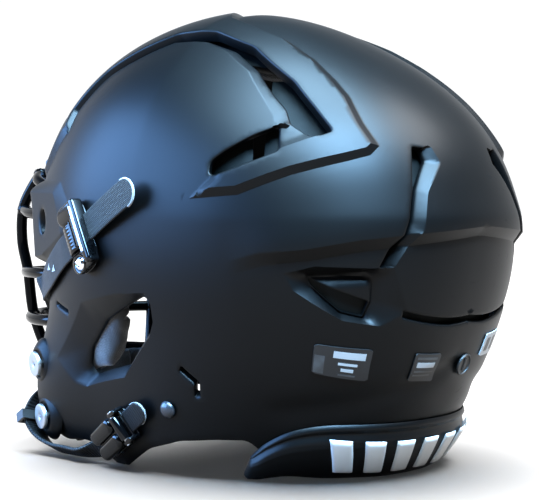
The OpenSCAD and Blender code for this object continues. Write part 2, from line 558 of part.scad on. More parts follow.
module ratchet_pins() placed() color(STEEL) both_sides() at_ratchet()
  translate([7, 10, -10.9]) cylinder(d = 3, h = 21.8, $fn = 24);

module strap_rivets() placed() color(GREY) both_sides() seated([5, -45.5], [3, 13]) {
  translate([0.3, 0, 0]) rotate([0, 90, 0]) cylinder(d1 = 10, d2 = 6, h = 3, $fn = 32);
}
// rectangular loops that lead the ribbed strap round the front of the jaw
module strap_guides() placed() color(GREY) both_sides() {
  across = unit(GUIDE_ROW[1]);
  out = unit(cross(across, [-7.5, -10.5, 18]));
  along = cross(out, across);
  multmatrix([for (i = [0:3]) i == 3 ? [0, 0, 0, 1] : [across[i], out[i], along[i], GUIDE_ROW[0][i]]])
    difference() {
      translate([-9.4, -3.8, -3]) cube([18.8, 7.6, 6]);
      translate([-7.7, -2.3, -4]) cube([15.4, 4.6, 8]);
    }
}

// ---- liner and pads ------------------------------------------------------

LINER_TOP = -shell_wall - liner_gap;
LINER_FLOOR = LINER_TOP - liner_thick;
PAD_TOP = LINER_FLOOR - 2;
PAD_FLOOR = PAD_TOP - pad_thick;
module liner_block(way, left, right, across = 6, along = 3)
  cover(way, left, right, even(LINER_FLOOR), even(LINER_TOP), across, along, in_face);
module pad_block(way, left, right, across = 6, along = 3)
  cover(way, left, right, [[0, PAD_FLOOR + 4], [0.15, PAD_FLOOR], [0.85, PAD_FLOOR], [1, PAD_FLOOR + 4]],
    even(PAD_TOP), across, along, in_face);

module liner_crown() placed() color(GREY) liner_block(top, [[-34, -30], [-38, 0], [-34, 30]],
  [[34, -30], [38, 0], [34, 30]], 6, 3);
module liner_rear() placed() color(GREY) liner_block(globe, [[-50, 42], [-52, 10], [-48, -26]],
  [[50, 42], [52, 10], [48, -26]], 8, 3);
module liner_side() liner_block(side, [[-36, -8], [-34, 20], [-22, 42]], [[32, -12], [34, 16], [28, 40]], 6, 3);
module liner_left() placed() color(GREY) liner_side();
module liner_right() placed() color(GREY) mirror([1, 0, 0]) liner_side();

module front_pad() placed() color(BLACK) cover(globe, [[146, 16], [152, 42]], [[214, 16], [208, 42]],
  [[0, -24], [0.1, -28], [0.9, -28], [1, -24]], even(-shell_wall - 7), 8, 4, in_face);
module crown_pad() placed() color(BLACK) pad_block(top, [[-26, -24], [-28, 0], [-26, 24]],
  [[26, -24], [28, 0], [26, 24]], 6, 2);
module rear_pad() placed() color(BLACK) pad_block(globe, [[-42, 32], [-44, 8], [-40, -20]],
  [[42, 32], [44, 8], [40, -20]], 8, 3);
module nape_pad() placed() color(BLACK) cover(globe, [[-38, -36], [-36, -50]], [[38, -36], [36, -50]],
  [[0, -22], [0.12, -26], [0.88, -26], [1, -22]], even(-shell_wall - 3.5), 8, 4, in_face);
module side_pad() pad_block(side, [[-30, -4], [-26, 16], [-18, 32]], [[24, -6], [26, 14], [20, 30]], 6, 3);
module side_pad_left() placed() color(BLACK) side_pad();
module side_pad_right() placed() color(BLACK) mirror([1, 0, 0]) side_pad();
module jaw_pad() cover(side, [[-36, -17], [-35, -30], [-31, -42]], [[-15, -18], [-11.5, -28], [-19, -42]],
  [[0, -17], [0.15, -20], [0.85, -20], [1, -17]], even(-shell_wall - 1.2), 4, 3, in_face);
module jaw_pad_left() placed() color(BLACK) jaw_pad();
module jaw_pad_right() placed() color(BLACK) mirror([1, 0, 0]) jaw_pad();

// ---- small things on the skirt -------------------------------------------

VALVE_PLACE = [-4, -32];
VALVE_TILT = 20;
module at_valve() translate(at(globe_way(VALVE_PLACE), 0)) rotate([-90 - VALVE_TILT, 0, -VALVE_PLACE[0]])
  children();
module air_valve() placed() color(BLACK) at_valve() difference() {
  union() {
    translate([0, 0, 0.9]) cylinder(d = 13, h = 1.6, $fn = 48);
    translate([0, 0, -5]) cylinder(d = 7, h = 7, $fn = 48);
  }
  translate([0, 0, -6]) cylinder(d = 2, h = 12, $fn = 32);
}

module size_label() placed() color(GREY) cover(side, [[46, -30.5], [43.5, -37.5]], [[58, -33.5], [54.5, -41.5]],
  even(0.6), even(1), 4, 3);
module season_label() placed() color(GREY) cover(side, [[67.5, -38], [63.5, -45]], [[73.5, -41], [69, -48.5]],
  even(0.6), even(1), 3, 3);
module approval_sticker() placed() color(WHITE) mirror([1, 0, 0])
  cover(side, [[64, -32], [62, -38.5]], [[72, -35], [69.5, -41.5]], even(0.6), even(1), 3, 3);

shell();
rear_bumper();
badge_bars();
front_bumper();
facemask();
forehead_clip_left();
forehead_clip_right();
forehead_screws();
forehead_nuts();
jaw_clip_upper_left();
jaw_clip_lower_left();
jaw_clip_upper_right();
jaw_clip_lower_right();
release_upper_left();
release_lower_left();
release_upper_right();
release_lower_right();
upper_strap_left();
upper_strap_right();
buckle_left();
buckle_right();
buckle_cam_left();
buckle_cam_right();
buckle_screws();
lower_strap_left();
lower_strap_right();
ratchet_body_left();
ratchet_body_right();
ratchet_lever_left();
ratchet_lever_right();
ratchet_pins();
strap_rivets();
strap_guides();
chin_cup();
chin_pad();
liner_crown();
liner_rear();
liner_left();
liner_right();
front_pad();
crown_pad();
rear_pad();
nape_pad();
side_pad_left();
side_pad_right();
jaw_pad_left();
jaw_pad_right();
air_valve();
size_label();
season_label();
approval_sticker();
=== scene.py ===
import math
import bpy
import bmesh
import numpy as np
from mathutils import Matrix, Vector
from mathutils.geometry import delaunay_2d_cdt
from mathutils.kdtree import KDTree


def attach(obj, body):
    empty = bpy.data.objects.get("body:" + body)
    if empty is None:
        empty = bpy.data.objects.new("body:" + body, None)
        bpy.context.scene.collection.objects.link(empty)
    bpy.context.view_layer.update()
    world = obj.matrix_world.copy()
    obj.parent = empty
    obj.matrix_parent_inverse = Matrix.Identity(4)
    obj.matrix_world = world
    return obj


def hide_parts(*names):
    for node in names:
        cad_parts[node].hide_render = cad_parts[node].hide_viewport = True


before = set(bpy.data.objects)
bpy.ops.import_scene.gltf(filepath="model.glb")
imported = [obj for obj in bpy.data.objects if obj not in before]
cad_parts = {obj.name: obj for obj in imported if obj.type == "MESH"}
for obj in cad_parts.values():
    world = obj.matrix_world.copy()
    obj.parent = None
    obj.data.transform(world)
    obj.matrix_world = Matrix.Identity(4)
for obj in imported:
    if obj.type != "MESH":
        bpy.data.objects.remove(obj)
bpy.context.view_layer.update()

MM = 0.001
UP = np.array([0.0, 0.0, 1.0])

# ---------------------------------------------------------------- form ----
# The same rounded form as the CAD shell, in millimetres, seen from one centre.
CENTRE = np.array([0.0, 15.0, 144.0])
SHIFT = np.array([0.0, 15.0, 0.0])
HALF_WIDTH, FRONT, REAR, RISE, SKIRT_DROP = 121.0, 148.0, 149.0, 120.0, 195.0
WALL, BAND = 4.0, 3.0       # thickness of the shell, height of the raised band
DEG_MM = 2.15               # millimetres to one degree on the shell
CUP_HALF = 38.0
SHELL_LOW = 0.4             # the shell's lowest edge over the floor
SCOOP_EDGE = 0.25           # how much less the scoop's edge is rounded, in degrees
EDGE_ROUND = 1.2            # radius of the shell's rounded edges
CHART_RINGS = (0.1, 0.26, 0.56)    # rows of points beside an edge, in degrees
CHART_STEP = 1.2            # spacing of the points in between, in degrees

RAISED = [[-100, 10], [-53, 11], [-46, 18], [-40, 24], [-41.6, 30.8], [-33.8, 43.4], [-21.7, 51.3],
          [-10, 57.7], [5, 57.9], [20, 52.6], [33, 42.5], [43.5, 30.5], [48.47, 21.45], [40.67, 17.75],
          [38, 18], [32, 15.6], [27, 13.4], [24.6, 12], [25, 11],
          [19, 5], [32, 6], [44, 11], [56, 15], [61, 17], [63, 20], [59, 27],
          [55, 36], [50, 43], [42, 52], [30, 61], [4, 71], [-20, 92], [-80, 80]]
RAISED_SOFT = [[-100, 10], [-53, 11], [-46, 18], [-40, 24]]
RAISED_LOW = [[25, 11], [19, 5], [32, 6], [44, 11], [56, 15], [61, 17], [63, 20], [59, 27],
              [55, 36], [50, 43], [42, 52], [30, 61], [4, 71], [-20, 92]]
WEB_FOOT = [[48.4, 21.6], [40.6, 17.9]]
RIDGE = [[30, -10], [37, -8], [47, -7], [58, -5], [68, -4], [82, -3], [95, -2]]
RIM_SIDE = [[-73, 17], [-60, 14.5], [-54, 11], [-52, 4], [-51, -4], [-49, -14], [-46.5, -21],
            [-46, -25], [-47, -29], [-46.5, -34], [-44.5, -39], [-41.5, -44], [-38, -48.5], [-34, -51.5],
            [-29, -52], [-24, -53.5], [-18, -57.6], [-14.5, -57.6], [-4, -53.5], [6, -51.7], [15, -52],
            [23, -53]]
RIM_REAR = [[52, -54], [40, -53.5], [26, -53], [12, -53], [0, -53]]
EAR_HOLE = [[-24, -35], [-16, -28], [1, -21], [3.5, -22.5], [4, -26], [2, -29.5], [-9, -39],
            [-23, -41], [-25, -39]]
EAR_BEVEL = [[-23.5, -41.6], [-27.5, -40.5], [-35, -35], [-23.5, -22.5], [-9, -20], [3.4, -19],
             [5, -22], [4.8, -26.4], [2.6, -30.2], [-8.6, -39.8]]
BAND_EDGE = [[-40.5, 24], [-42.3, 31], [-34.3, 44], [-22, 52], [-10, 58.4], [6, 59], [23, 53],
             [40, 39], [47, 30], [52, 23], [48.6, 21.3]]
PANEL_EDGE = [[-39.5, 24], [-41, 30.6], [-33.3, 42.8], [-21.5, 50.6], [-10, 57], [4, 56.8], [17, 53],
              [28, 45], [35.6, 35.8], [40.4, 30.5], [42.3, 25.8]]
ARM_EDGE = [[39.6, 24.6], [34, 21.8], [31, 19.9], [27, 17.2], [24, 14.6], [24, 11.4], [26, 11],
            [29, 12], [36, 15], [40.6, 17.2]]
PANEL_CREASE = [[-38.3, 23.3], [-39.4, 30.3], [-32.2, 41.6], [-20.8, 49.2], [-9.8, 55.4], [3.6, 55],
                [14, 51.6], [25.6, 43.4], [32.8, 34.2], [37.6, 27.6], [38.2, 25.9]]
VENT_EDGE = [[71, 21], [70.5, 8], [69, 0], [67.7, -4], [64.6, -8.6], [62.6, -12.4]]
VENT_BEVEL_IN = [[73.8, 21], [75, 17.4], [71.8, 8], [70, -1], [68.6, -4.6], [65.6, -9.2], [63.8, -12.4]]
VENT_BEVEL_OUT = [[76, 21.8], [78.2, 17], [74, 7.4], [72, -3], [69, -7.6], [66, -12.2]]
PANEL_REACH = [[-40, 23.8], [-41.7, 30.8], [-33.9, 43.5], [-21.8, 51.4], [-10, 57.8], [4.4, 58], [19, 54.4],
               [30.5, 46], [38.4, 37], [42.6, 31.4], [44.6, 26.6], [42.3, 25.8]]
SCOOP_RIM = [[42, -13.2], [49, -11.4], [61.6, -12.4], [66, -12.2], [67.3, -24.8], [61, -27.7],
             [53, -25.2], [43.8, -17.4]]
SCOOP_FLOOR = [[47, -14], [60.4, -13.6], [61.6, -15.4], [60.6, -21.8], [58, -26.2], [53, -24.2],
               [47.6, -17.2]]
SCOOP_SHELF = [[48.4, -14.9], [53, -14.9], [59.6, -15.4], [60.2, -21.4]]
SCOOP_HOLE = [[47.4, -14.9], [59.8, -21.4], [57.8, -25.6], [53.2, -23.7], [48, -17]]
GAP_TOP = [[66.6, -24.7], [71, -27], [77, -29.7], [81, -31], [84.9, -31.9]]
GAP_LOW = [[66, -26.4], [70.4, -28.9], [76.3, -31.9], [80, -33.1], [84, -33.9]]
ELL_SLOT = [[11.5, -36.5], [15.6, -39.8], [14.7, -43], [13.4, -43], [14.2, -40.4], [10.5, -37.5]]
SLIT = [[-38, -22.8], [-31, -24.7], [-31, -25.7], [-38, -23.8]]
TEMPLE_BASE = [[-56, 10], [-34, 9.6], [-28.5, 4.5], [-25.5, -4], [-38.5, -11.5], [-54, -14]]
TEMPLE_FACE = [[-58, 6.5], [-36.6, 6.3], [-31, -4.4], [-44.5, -10.4], [-58, -12]]
UPPER_HEAD, LOWER_HEAD, HEAD_TIP = (-43, -36), (-38.5, -45.5), (-18, 4)


def lim(t, low=0.0, high=1.0):
    return np.clip(t, low, high)


def soft(t):
    s = lim(t)
    return s * s * (3 - 2 * s)


def arr(x):
    return np.atleast_2d(np.asarray(x, float))


def unit(v):
    v = np.asarray(v, float)
    return v / np.maximum(np.linalg.norm(v, axis=-1, keepdims=True), 1e-12)


def side_way(p):
    """Unit direction of [back, up] degrees measured from straight left."""
    p = arr(p)
    g = np.hypot(p[:, 0], p[:, 1])
    k = np.sin(np.radians(g)) / np.maximum(g, 1e-9)
    return np.stack([np.cos(np.radians(g)), k * p[:, 0], k * p[:, 1]], 1)


def globe_way(p):
    p = np.radians(arr(p))
    return np.stack([np.cos(p[:, 1]) * np.sin(p[:, 0]), np.cos(p[:, 1]) * np.cos(p[:, 0]),
                     np.sin(p[:, 1])], 1)


def side_place(d):
    d = arr(d)
    s = np.hypot(d[:, 1], d[:, 2])
    a = np.degrees(np.arccos(lim(np.abs(d[:, 0]), 0, 1))) / np.maximum(s, 1e-9)
    return np.stack([a * d[:, 1], a * d[:, 2]], 1)


def line_distance(p, path, closed=False):
    q = np.asarray(path, float)
    if closed:
        q = np.vstack([q, q[:1]])
    best = np.full(len(p), 1e9)
    for a, b in zip(q[:-1], q[1:]):
        ab = b - a
        t = lim(((p - a) @ ab) / max(ab @ ab, 1e-12))
        best = np.minimum(best, np.linalg.norm(p - a - t[:, None] * ab, axis=1))
    return best


def inside(p, loop):
    q = np.asarray(loop, float)
    hit = np.zeros(len(p), bool)
    for a, b in zip(q, np.roll(q, -1, 0)):
        over = (a[1] > p[:, 1]) != (b[1] > p[:, 1])
        with np.errstate(divide="ignore", invalid="ignore"):
            cut = (b[0] - a[0]) * (p[:, 1] - a[1]) / (b[1] - a[1]) + a[0]
        hit ^= over & (p[:, 0] < cut)
    return hit


def depth(p, loop):
    return np.where(inside(p, loop), 1, -1) * line_distance(p, loop, True)


def plain_form(d):
    ax, y, z = np.abs(d[:, 0]), d[:, 1], d[:, 2]
    h = (ax / HALF_WIDTH) ** 2.2 + (np.abs(y) / np.where(y < 0, FRONT, REAR)) ** 2.2
    n = 2.07 - 0.22 * soft(-2 * z)
    up = np.abs(z) / np.where(z > 0, RISE, SKIRT_DROP)
    return (h ** (n / 2.2) + up ** n) ** (-1 / n) - 12 * lim(2 * np.maximum(y, 0) * np.maximum(z, 0)) ** 1.15


def skirt(p):
    u, v = p[:, 0], p[:, 1]
    return (10 * lim((-v - 25) / 27, 0, 1.2) ** 2 * (1 - soft(u / 30))
            + 36 * np.exp(-((u + 50) / 20) ** 2 - ((v + 48) / 17) ** 2)
            + 6 * np.exp(-((u + 53) / 8) ** 2 - (v / 10) ** 2))


def ridge_step(p):
    u, v = p[:, 0], p[:, 1]
    r = np.asarray(RIDGE, float)
    g = line_distance(p, RIDGE)
    over = v > np.interp(u, r[:, 0], r[:, 1])
    below = 2.5 - 4.6 * lim(g / 3.2) + 0.3 * soft((g - 3.2) / 2)
    return np.where(u < 28, 0, soft((u - 28) / 16) * np.where(over, 2.5 * np.exp(-g * g / 60), below))


def lining_form(d):
    return plain_form(d) + skirt(side_place(d))


def ring(p, outer, inner, drop):
    """Sloping band from an outer outline down to an inner one, flat inside the inner one."""
    a = np.maximum(depth(p, outer), 0)
    b = np.maximum(-depth(p, inner), 0)
    return drop * a / np.maximum(a + b, 1e-6)


def band_rise(p):
    """Rises gently from its outer edges and ends in a cliff at the V slots."""
    gap = np.minimum(line_distance(p, RAISED_SOFT), line_distance(p, RAISED_LOW))
    return np.where(inside(p, RAISED), BAND * lim(gap / 2.2), 0)


def shell_form(d):
    p = side_place(d)
    return (lining_form(d) + band_rise(p) + ridge_step(p)
            - 1.5 * np.exp(-((p[:, 1] + 47) / 3) ** 2) * soft((p[:, 0] - 25) / 12))


def slant(d):
    p = side_place(d)
    return 1 + 0.45 * lim((-p[:, 1] - 20) / 25) * (1 - soft((p[:, 0] - 5) / 30))


def at(d, off):
    d = arr(d)
    return CENTRE + (shell_form(d) + off * slant(d))[:, None] * d


def within(d, off):
    d = arr(d)
    return CENTRE + (lining_form(d) + off * slant(d))[:, None] * d


def on_side(p, off=0.0):
    return at(side_way(p), off)[0]


def seat(p, tip, turn=0.0):
    """Frame on the left shell in metres: X out, then turned about X."""
    o = Vector(on_side(p)) * MM
    m = (Matrix.Rotation(math.radians(tip[0]), 4, "Z") @ Matrix.Rotation(math.radians(tip[1]), 4, "Y")
         @ Matrix.Rotation(math.radians(turn), 4, "X"))
    return Matrix.Translation(o) @ m @ Matrix.Scale(MM, 4)


# -------------------------------------------------------------- meshes ----
MIRROR = Matrix.Scale(-1, 4, (1, 0, 0))
SIDES = ("left", "right")


def add_mesh(name, verts, faces, angle=40, scale=MM):
    me = bpy.data.meshes.new(name)
    me.from_pydata([tuple(v) for v in np.asarray(verts, float) * scale], [], [tuple(f) for f in faces])
    me.validate()
    ob = bpy.data.objects.new(name, me)
    bpy.context.scene.collection.objects.link(ob)
    shade(ob, angle)
    return ob


def shade(ob, angle=40):
    me = ob.data
    me.polygons.foreach_set("use_smooth", [True] * len(me.polygons))
    me.set_sharp_from_angle(angle=math.radians(angle))


def place(ob, matrix):
    """Moves the vertices, keeps the object at the origin and its faces pointing out."""
    ob.data.transform(matrix)
    if matrix.determinant() < 0:
        ob.data.flip_normals()
    return ob


def copy_of(ob, name):
    new = ob.copy()
    new.data = ob.data.copy()
    new.name = name
    new.data.name = name
    bpy.context.scene.collection.objects.link(new)
    return new


def apply_modifiers(ob):
    bpy.context.view_layer.update()
    deps = bpy.context.evaluated_depsgraph_get()
    me = bpy.data.meshes.new_from_object(ob.evaluated_get(deps), preserve_all_data_layers=True,
                                         depsgraph=deps)
    old = ob.data
    ob.modifiers.clear()
    ob.data = me
    bpy.data.meshes.remove(old)
    return ob


def joined(name, *obs):
    bm = bmesh.new()
    slots = []
    for ob in obs:
        first = len(bm.faces)
        bm.from_mesh(ob.data)
        bm.faces.ensure_lookup_table()
        for mat in ob.data.materials:
            if mat not in slots:
                slots.append(mat)
        for f in bm.faces[first:]:
            if ob.data.materials:
                f.material_index = slots.index(ob.data.materials[f.material_index])
    me = bpy.data.meshes.new(name)
    bm.to_mesh(me)
    bm.free()
    for mat in slots:
        me.materials.append(mat)
    for ob in obs:
        bpy.data.objects.remove(ob)
    new = bpy.data.objects.new(name, me)
    bpy.context.scene.collection.objects.link(new)
    return new


def tube(path, radius, sides=16):
    """Round rod with domed ends along a smooth path."""
    p = np.asarray(path, float)
    n = len(p)
    t = unit(np.gradient(p, axis=0))
    x = np.cross(UP, t[0])
    x = unit(x if np.linalg.norm(x) > 1e-3 else np.cross([1, 0, 0], t[0]))
    verts, faces = [], []
    r = np.broadcast_to(np.asarray(radius, float), (n,))
    for i in range(n):
        x = unit(x - (x @ t[i]) * t[i])
        y = np.cross(t[i], x)
        for k in range(sides):
            a = 2 * math.pi * k / sides
            verts.append(p[i] + r[i] * (math.cos(a) * x + math.sin(a) * y))
    for i in range(n - 1):
        faces += ring_faces(i * sides, (i + 1) * sides, sides)
    for i, way in ((0, -1), (n - 1, 1)):
        tip = len(verts)
        base, dome = i * sides, tip + 1
        verts.append(p[i] + way * t[i] * r[i] * 0.55)
        for k in range(sides):
            verts.append(p[i] + (np.asarray(verts[base + k]) - p[i]) * 0.7 + way * t[i] * r[i] * 0.4)
        for k in range(sides):
            m = (k + 1) % sides
            for f in ((base + k, base + m, dome + m, dome + k), (dome + k, dome + m, tip)):
                faces.append(f if way > 0 else f[::-1])
    return verts, faces


def ring_faces(a, b, sides):
    """Faces between two rings of points that start at a and b."""
    return [(a + k, a + (k + 1) % sides, b + (k + 1) % sides, b + k) for k in range(sides)]


def lathe(name, profile, matrix, sides=64, angle=35):
    """Turned piece: profile of (radius, height) about local X, bottom to top."""
    verts, faces = [], []
    rings = []
    for r, x in profile:
        if r < 1e-6:
            rings.append([len(verts)])
            verts.append((x, 0, 0))
        else:
            rings.append(list(range(len(verts), len(verts) + sides)))
            for k in range(sides):
                a = 2 * math.pi * k / sides
                verts.append((x, r * math.cos(a), r * math.sin(a)))
    for a, b in zip(rings[:-1], rings[1:]):
        for k in range(sides):
            m = (k + 1) % sides
            if len(a) == 1 and len(b) > 1:
                faces.append((a[0], b[k], b[m]))
            elif len(b) == 1 and len(a) > 1:
                faces.append((a[k], b[0], a[m]))
            elif len(a) > 1 and len(b) > 1:
                faces.append((a[k], b[k], b[m], a[m]))
    ob = add_mesh(name, verts, faces, angle, 1)
    fix_normals(ob)
    return place(ob, matrix)


def fix_normals(ob):
    bm = bmesh.new()
    bm.from_mesh(ob.data)
    bmesh.ops.recalc_face_normals(bm, faces=bm.faces)
    bm.to_mesh(ob.data)
    bm.free()


def prism(name, outline, low, high, matrix, bevel=0.0, segments=3):
    """Plate with a (y, z) outline between two heights along local X."""
    bm = bmesh.new()
    bottom = [bm.verts.new((low, y, z)) for y, z in outline]
    top = [bm.verts.new((high, y, z)) for y, z in outline]
    n = len(outline)
    bm.faces.new(bottom[::-1])
    bm.faces.new(top)
    for i in range(n):
        k = (i + 1) % n
        bm.faces.new((bottom[i], bottom[k], top[k], top[i]))
    bmesh.ops.recalc_face_normals(bm, faces=bm.faces)
    if bevel:
        sharp = [e for e in bm.edges if len(e.link_faces) == 2
                 and e.calc_face_angle(0) > math.radians(25)]
        bmesh.ops.bevel(bm, geom=sharp, offset=bevel, segments=segments, profile=0.5,
                        affect="EDGES", clamp_overlap=True)
    me = bpy.data.meshes.new(name)
    bm.to_mesh(me)
    bm.free()
    ob = bpy.data.objects.new(name, me)
    bpy.context.scene.collection.objects.link(ob)
    shade(ob)
    return place(ob, matrix)


def stadium(cy, cz, half_y, half_z, corner, steps=6):
    """Rounded rectangle outline."""
    out = []
    for sy, sz, a0 in ((1, 1, 0), (-1, 1, 90), (-1, -1, 180), (1, -1, 270)):
        for i in range(steps + 1):
            a = math.radians(a0 + 90 * i / steps)
            out.append((cy + sy * (half_y - corner) + corner * math.cos(a),
                        cz + sz * (half_z - corner) + corner * math.sin(a)))
    return out


def smooth_path(path, steps):
    p = np.asarray(path, float)
    n = len(p)
    out = []
    for i in range(n - 1):
        a, b, c, d = p[max(i - 1, 0)], p[i], p[i + 1], p[min(i + 2, n - 1)]
        for k in range(steps):
            t = k / steps
            out.append(0.5 * (2 * b + (c - a) * t + (2 * a - 5 * b + 4 * c - d) * t * t
                              + (3 * b - a - 3 * c + d) * t ** 3))
    out.append(p[-1])
    return np.array(out)


def rounded(path, size, closed=True, steps=4):
    """Path with its corners rounded off."""
    p = np.asarray(path, float)
    n = len(p)
    out = []
    for i in range(n):
        if not closed and i in (0, n - 1):
            out.append(p[i])
            continue
        a, b, c = p[i - 1], p[i], p[(i + 1) % n]
        la, lc = np.linalg.norm(a - b), np.linalg.norm(c - b)
        s = min(size, la * 0.45, lc * 0.45)
        s0, s1 = b + (a - b) / la * s, b + (c - b) / lc * s
        for k in range(steps + 1):
            t = k / steps
            out.append((1 - t) ** 2 * s0 + 2 * t * (1 - t) * b + t * t * s1)
    return np.array(out)


def spaced(path, step, closed=False):
    p = np.asarray(path, float)
    if closed:
        p = np.vstack([p, p[:1]])
    out = []
    for a, b in zip(p[:-1], p[1:]):
        k = max(1, int(math.ceil(np.linalg.norm(b - a) / step)))
        out += [a + (b - a) * i / k for i in range(k)]
    if not closed:
        out.append(p[-1])
    return np.array(out)


def offset_path(path, dist, closed=False):
    """Path moved to its left (positive) or right."""
    p = np.asarray(path, float)
    t = np.roll(p, -1, 0) - np.roll(p, 1, 0) if closed else np.gradient(p, axis=0)
    t = unit(t)
    return p + dist * np.stack([-t[:, 1], t[:, 0]], 1)


def loop_sign(loop):
    """1 when the loop runs anticlockwise."""
    q = np.asarray(loop, float)
    r = np.roll(q, -1, 0)
    return 1 if np.sum(q[:, 0] * r[:, 1] - r[:, 0] * q[:, 1]) > 0 else -1


# ----------------------------------------------------------- materials ----
def node(nodes, kind, values=(), **settings):
    """New shader node with its settings and the values of its inputs."""
    new = nodes.new("ShaderNode" + kind)
    for key, value in settings.items():
        setattr(new, key, value)
    for socket, value in dict(values).items():
        new.inputs[socket].default_value = value
    return new


def shader(name, base, rough, metal=0.0, coat=0.0, coat_rough=0.1, spec=0.5, grain=900.0, grain_depth=0.02,
           mottle=0.06, mottle_size=14.0, rough_vary=0.08, scratch=0.0, sheen=0.0, brush=None, weave=0.0):
    """Principled surface whose colour, gloss and relief all vary by noise."""
    mat = bpy.data.materials.new(name)
    mat.use_nodes = True
    nodes, link = mat.node_tree.nodes, mat.node_tree.links.new
    bsdf = nodes["Principled BSDF"]
    for socket, value in (("Metallic", metal), ("Coat Weight", coat), ("Coat Roughness", coat_rough),
                          ("Specular IOR Level", spec), ("Sheen Weight", sheen), ("Sheen Roughness", 0.5)):
        bsdf.inputs[socket].default_value = value
    coords = nodes.new("ShaderNodeTexCoord")
    broad = node(nodes, "TexNoise", {"Scale": mottle_size, "Detail": 5.0})
    link(coords.outputs["Object"], broad.inputs["Vector"])
    tone = nodes.new("ShaderNodeValToRGB")
    dark, light = tone.color_ramp.elements
    dark.color = [c * (1 - mottle) for c in base] + [1]
    light.color = [min(1.0, c * (1 + mottle)) for c in base] + [1]
    dark.position, light.position = 0.3, 0.7
    link(broad.outputs["Fac"], tone.inputs["Fac"])
    link(tone.outputs["Color"], bsdf.inputs["Base Color"])
    span = node(nodes, "MapRange", {"To Min": max(0.02, rough - rough_vary),
                                    "To Max": min(1.0, rough + rough_vary)})
    link(broad.outputs["Fac"], span.inputs["Value"])
    last_rough = span.outputs["Result"]
    if weave:
        height = weave_height(nodes, link, coords, weave)
    elif brush is not None:
        # fine lines drawn round an axis, as a turned face shows
        height = stretched(nodes, link, coords, {"Scale": brush}, {"Scale": 1.0, "Detail": 4.0})
    else:
        fine = node(nodes, "TexNoise", {"Scale": grain, "Detail": 3.0})
        link(coords.outputs["Object"], fine.inputs["Vector"])
        height = fine.outputs["Fac"]
    bump = node(nodes, "Bump", {"Strength": 0.6, "Distance": grain_depth * MM})
    link(height, bump.inputs["Height"])
    if scratch:
        marks = stretched(nodes, link, coords, {"Scale": (40, 900, 160), "Rotation": (0.5, 0.3, 0.9)},
                          {"Scale": 1.4, "Detail": 2.0})
        few = nodes.new("ShaderNodeValToRGB")
        few.color_ramp.elements[0].position = 0.68
        few.color_ramp.elements[1].position = 0.75
        link(marks, few.inputs["Fac"])
        worn = node(nodes, "Math", {1: scratch}, operation="MULTIPLY_ADD")
        link(few.outputs["Color"], worn.inputs[0])
        link(last_rough, worn.inputs[2])
        last_rough = worn.outputs["Value"]
    link(last_rough, bsdf.inputs["Roughness"])
    link(bump.outputs["Normal"], bsdf.inputs["Normal"])
    return mat


def stretched(nodes, link, coords, mapping, noise):
    """Noise in stretched or turned object space."""
    space = node(nodes, "Mapping", mapping)
    lines = node(nodes, "TexNoise", noise)
    link(coords.outputs["Object"], space.inputs["Vector"])
    link(space.outputs["Vector"], lines.inputs["Vector"])
    return lines.outputs["Fac"]


def weave_height(nodes, link, coords, pitch):
    """Crossed threads from object space, fine enough to read as cloth."""
    waves = []
    for turn, bands in ((0.0, "X"), (1.57, "Y"), (0.8, "Z")):
        m = node(nodes, "Mapping", {"Rotation": (turn * 0.3, 0.4, turn)})
        w = node(nodes, "TexWave", {"Scale": pitch, "Distortion": 0.6, "Detail": 1.0}, bands_direction=bands)
        link(coords.outputs["Object"], m.inputs["Vector"])
        link(m.outputs["Vector"], w.inputs["Vector"])
        waves.append(w.outputs["Fac"])
    crossed = node(nodes, "Math", operation="MULTIPLY")
    link(waves[0], crossed.inputs[0])
    link(waves[1], crossed.inputs[1])
    total = node(nodes, "Math", operation="ADD")
    link(crossed.outputs["Value"], total.inputs[0])
    link(waves[2], total.inputs[1])
    return total.outputs["Value"]


def band_shader(name, base, rough, warp, weft, depth_mm, sheen=0.0):
    """Woven or ribbed band, with painted shade in its grooves and painted highlight on its crests: its UV map
    runs across (0 to 1) and along in millimetres.
    """
    mat = shader(name, base, rough, sheen=sheen, spec=0.25, mottle=0.25, mottle_size=300, rough_vary=0.1)
    nodes, link = mat.node_tree.nodes, mat.node_tree.links.new
    bsdf = nodes["Principled BSDF"]
    uv = node(nodes, "UVMap", uv_map="band")
    split = nodes.new("ShaderNodeSeparateXYZ")
    link(uv.outputs["UV"], split.inputs["Vector"])

    def wave(source, times, shift=None):
        m = node(nodes, "Math", {1: times, 2: 0.0}, operation="MULTIPLY_ADD")
        link(source, m.inputs[0])
        if shift is not None:
            link(shift, m.inputs[2])
        s = node(nodes, "Math", operation="SINE")
        link(m.outputs["Value"], s.inputs[0])
        return s.outputs["Value"]

    across = wave(split.outputs["X"], warp)
    along = wave(split.outputs["Y"], weft, across if warp else None)
    mixed = node(nodes, "Math", operation="MULTIPLY" if warp else "ADD")
    link(across, mixed.inputs[0])
    link(along, mixed.inputs[1])
    bump = nodes["Bump"]
    bump.inputs["Distance"].default_value = depth_mm * MM
    bump.inputs["Strength"].default_value = 1.0
    link(mixed.outputs["Value"], bump.inputs["Height"])
    # painted shade and highlight: the base colour is darkened where the relief is low and lightened where it
    # is high
    relief_shade_level = node(nodes, "MapRange", {"From Min": -1, "To Min": 0.3, "To Max": 2.2})
    link(mixed.outputs["Value"], relief_shade_level.inputs["Value"])
    relief_shade_tint = node(nodes, "Mix", {"Factor": 1.0}, data_type="RGBA", blend_type="MULTIPLY")
    colour_a, colour_b, colour_out = relief_shade_tint.inputs[6], relief_shade_tint.inputs[7], relief_shade_tint.outputs[2]
    link(bsdf.inputs["Base Color"].links[0].from_socket, colour_a)
    link(relief_shade_level.outputs["Result"], colour_b)
    link(colour_out, bsdf.inputs["Base Color"])
    return mat


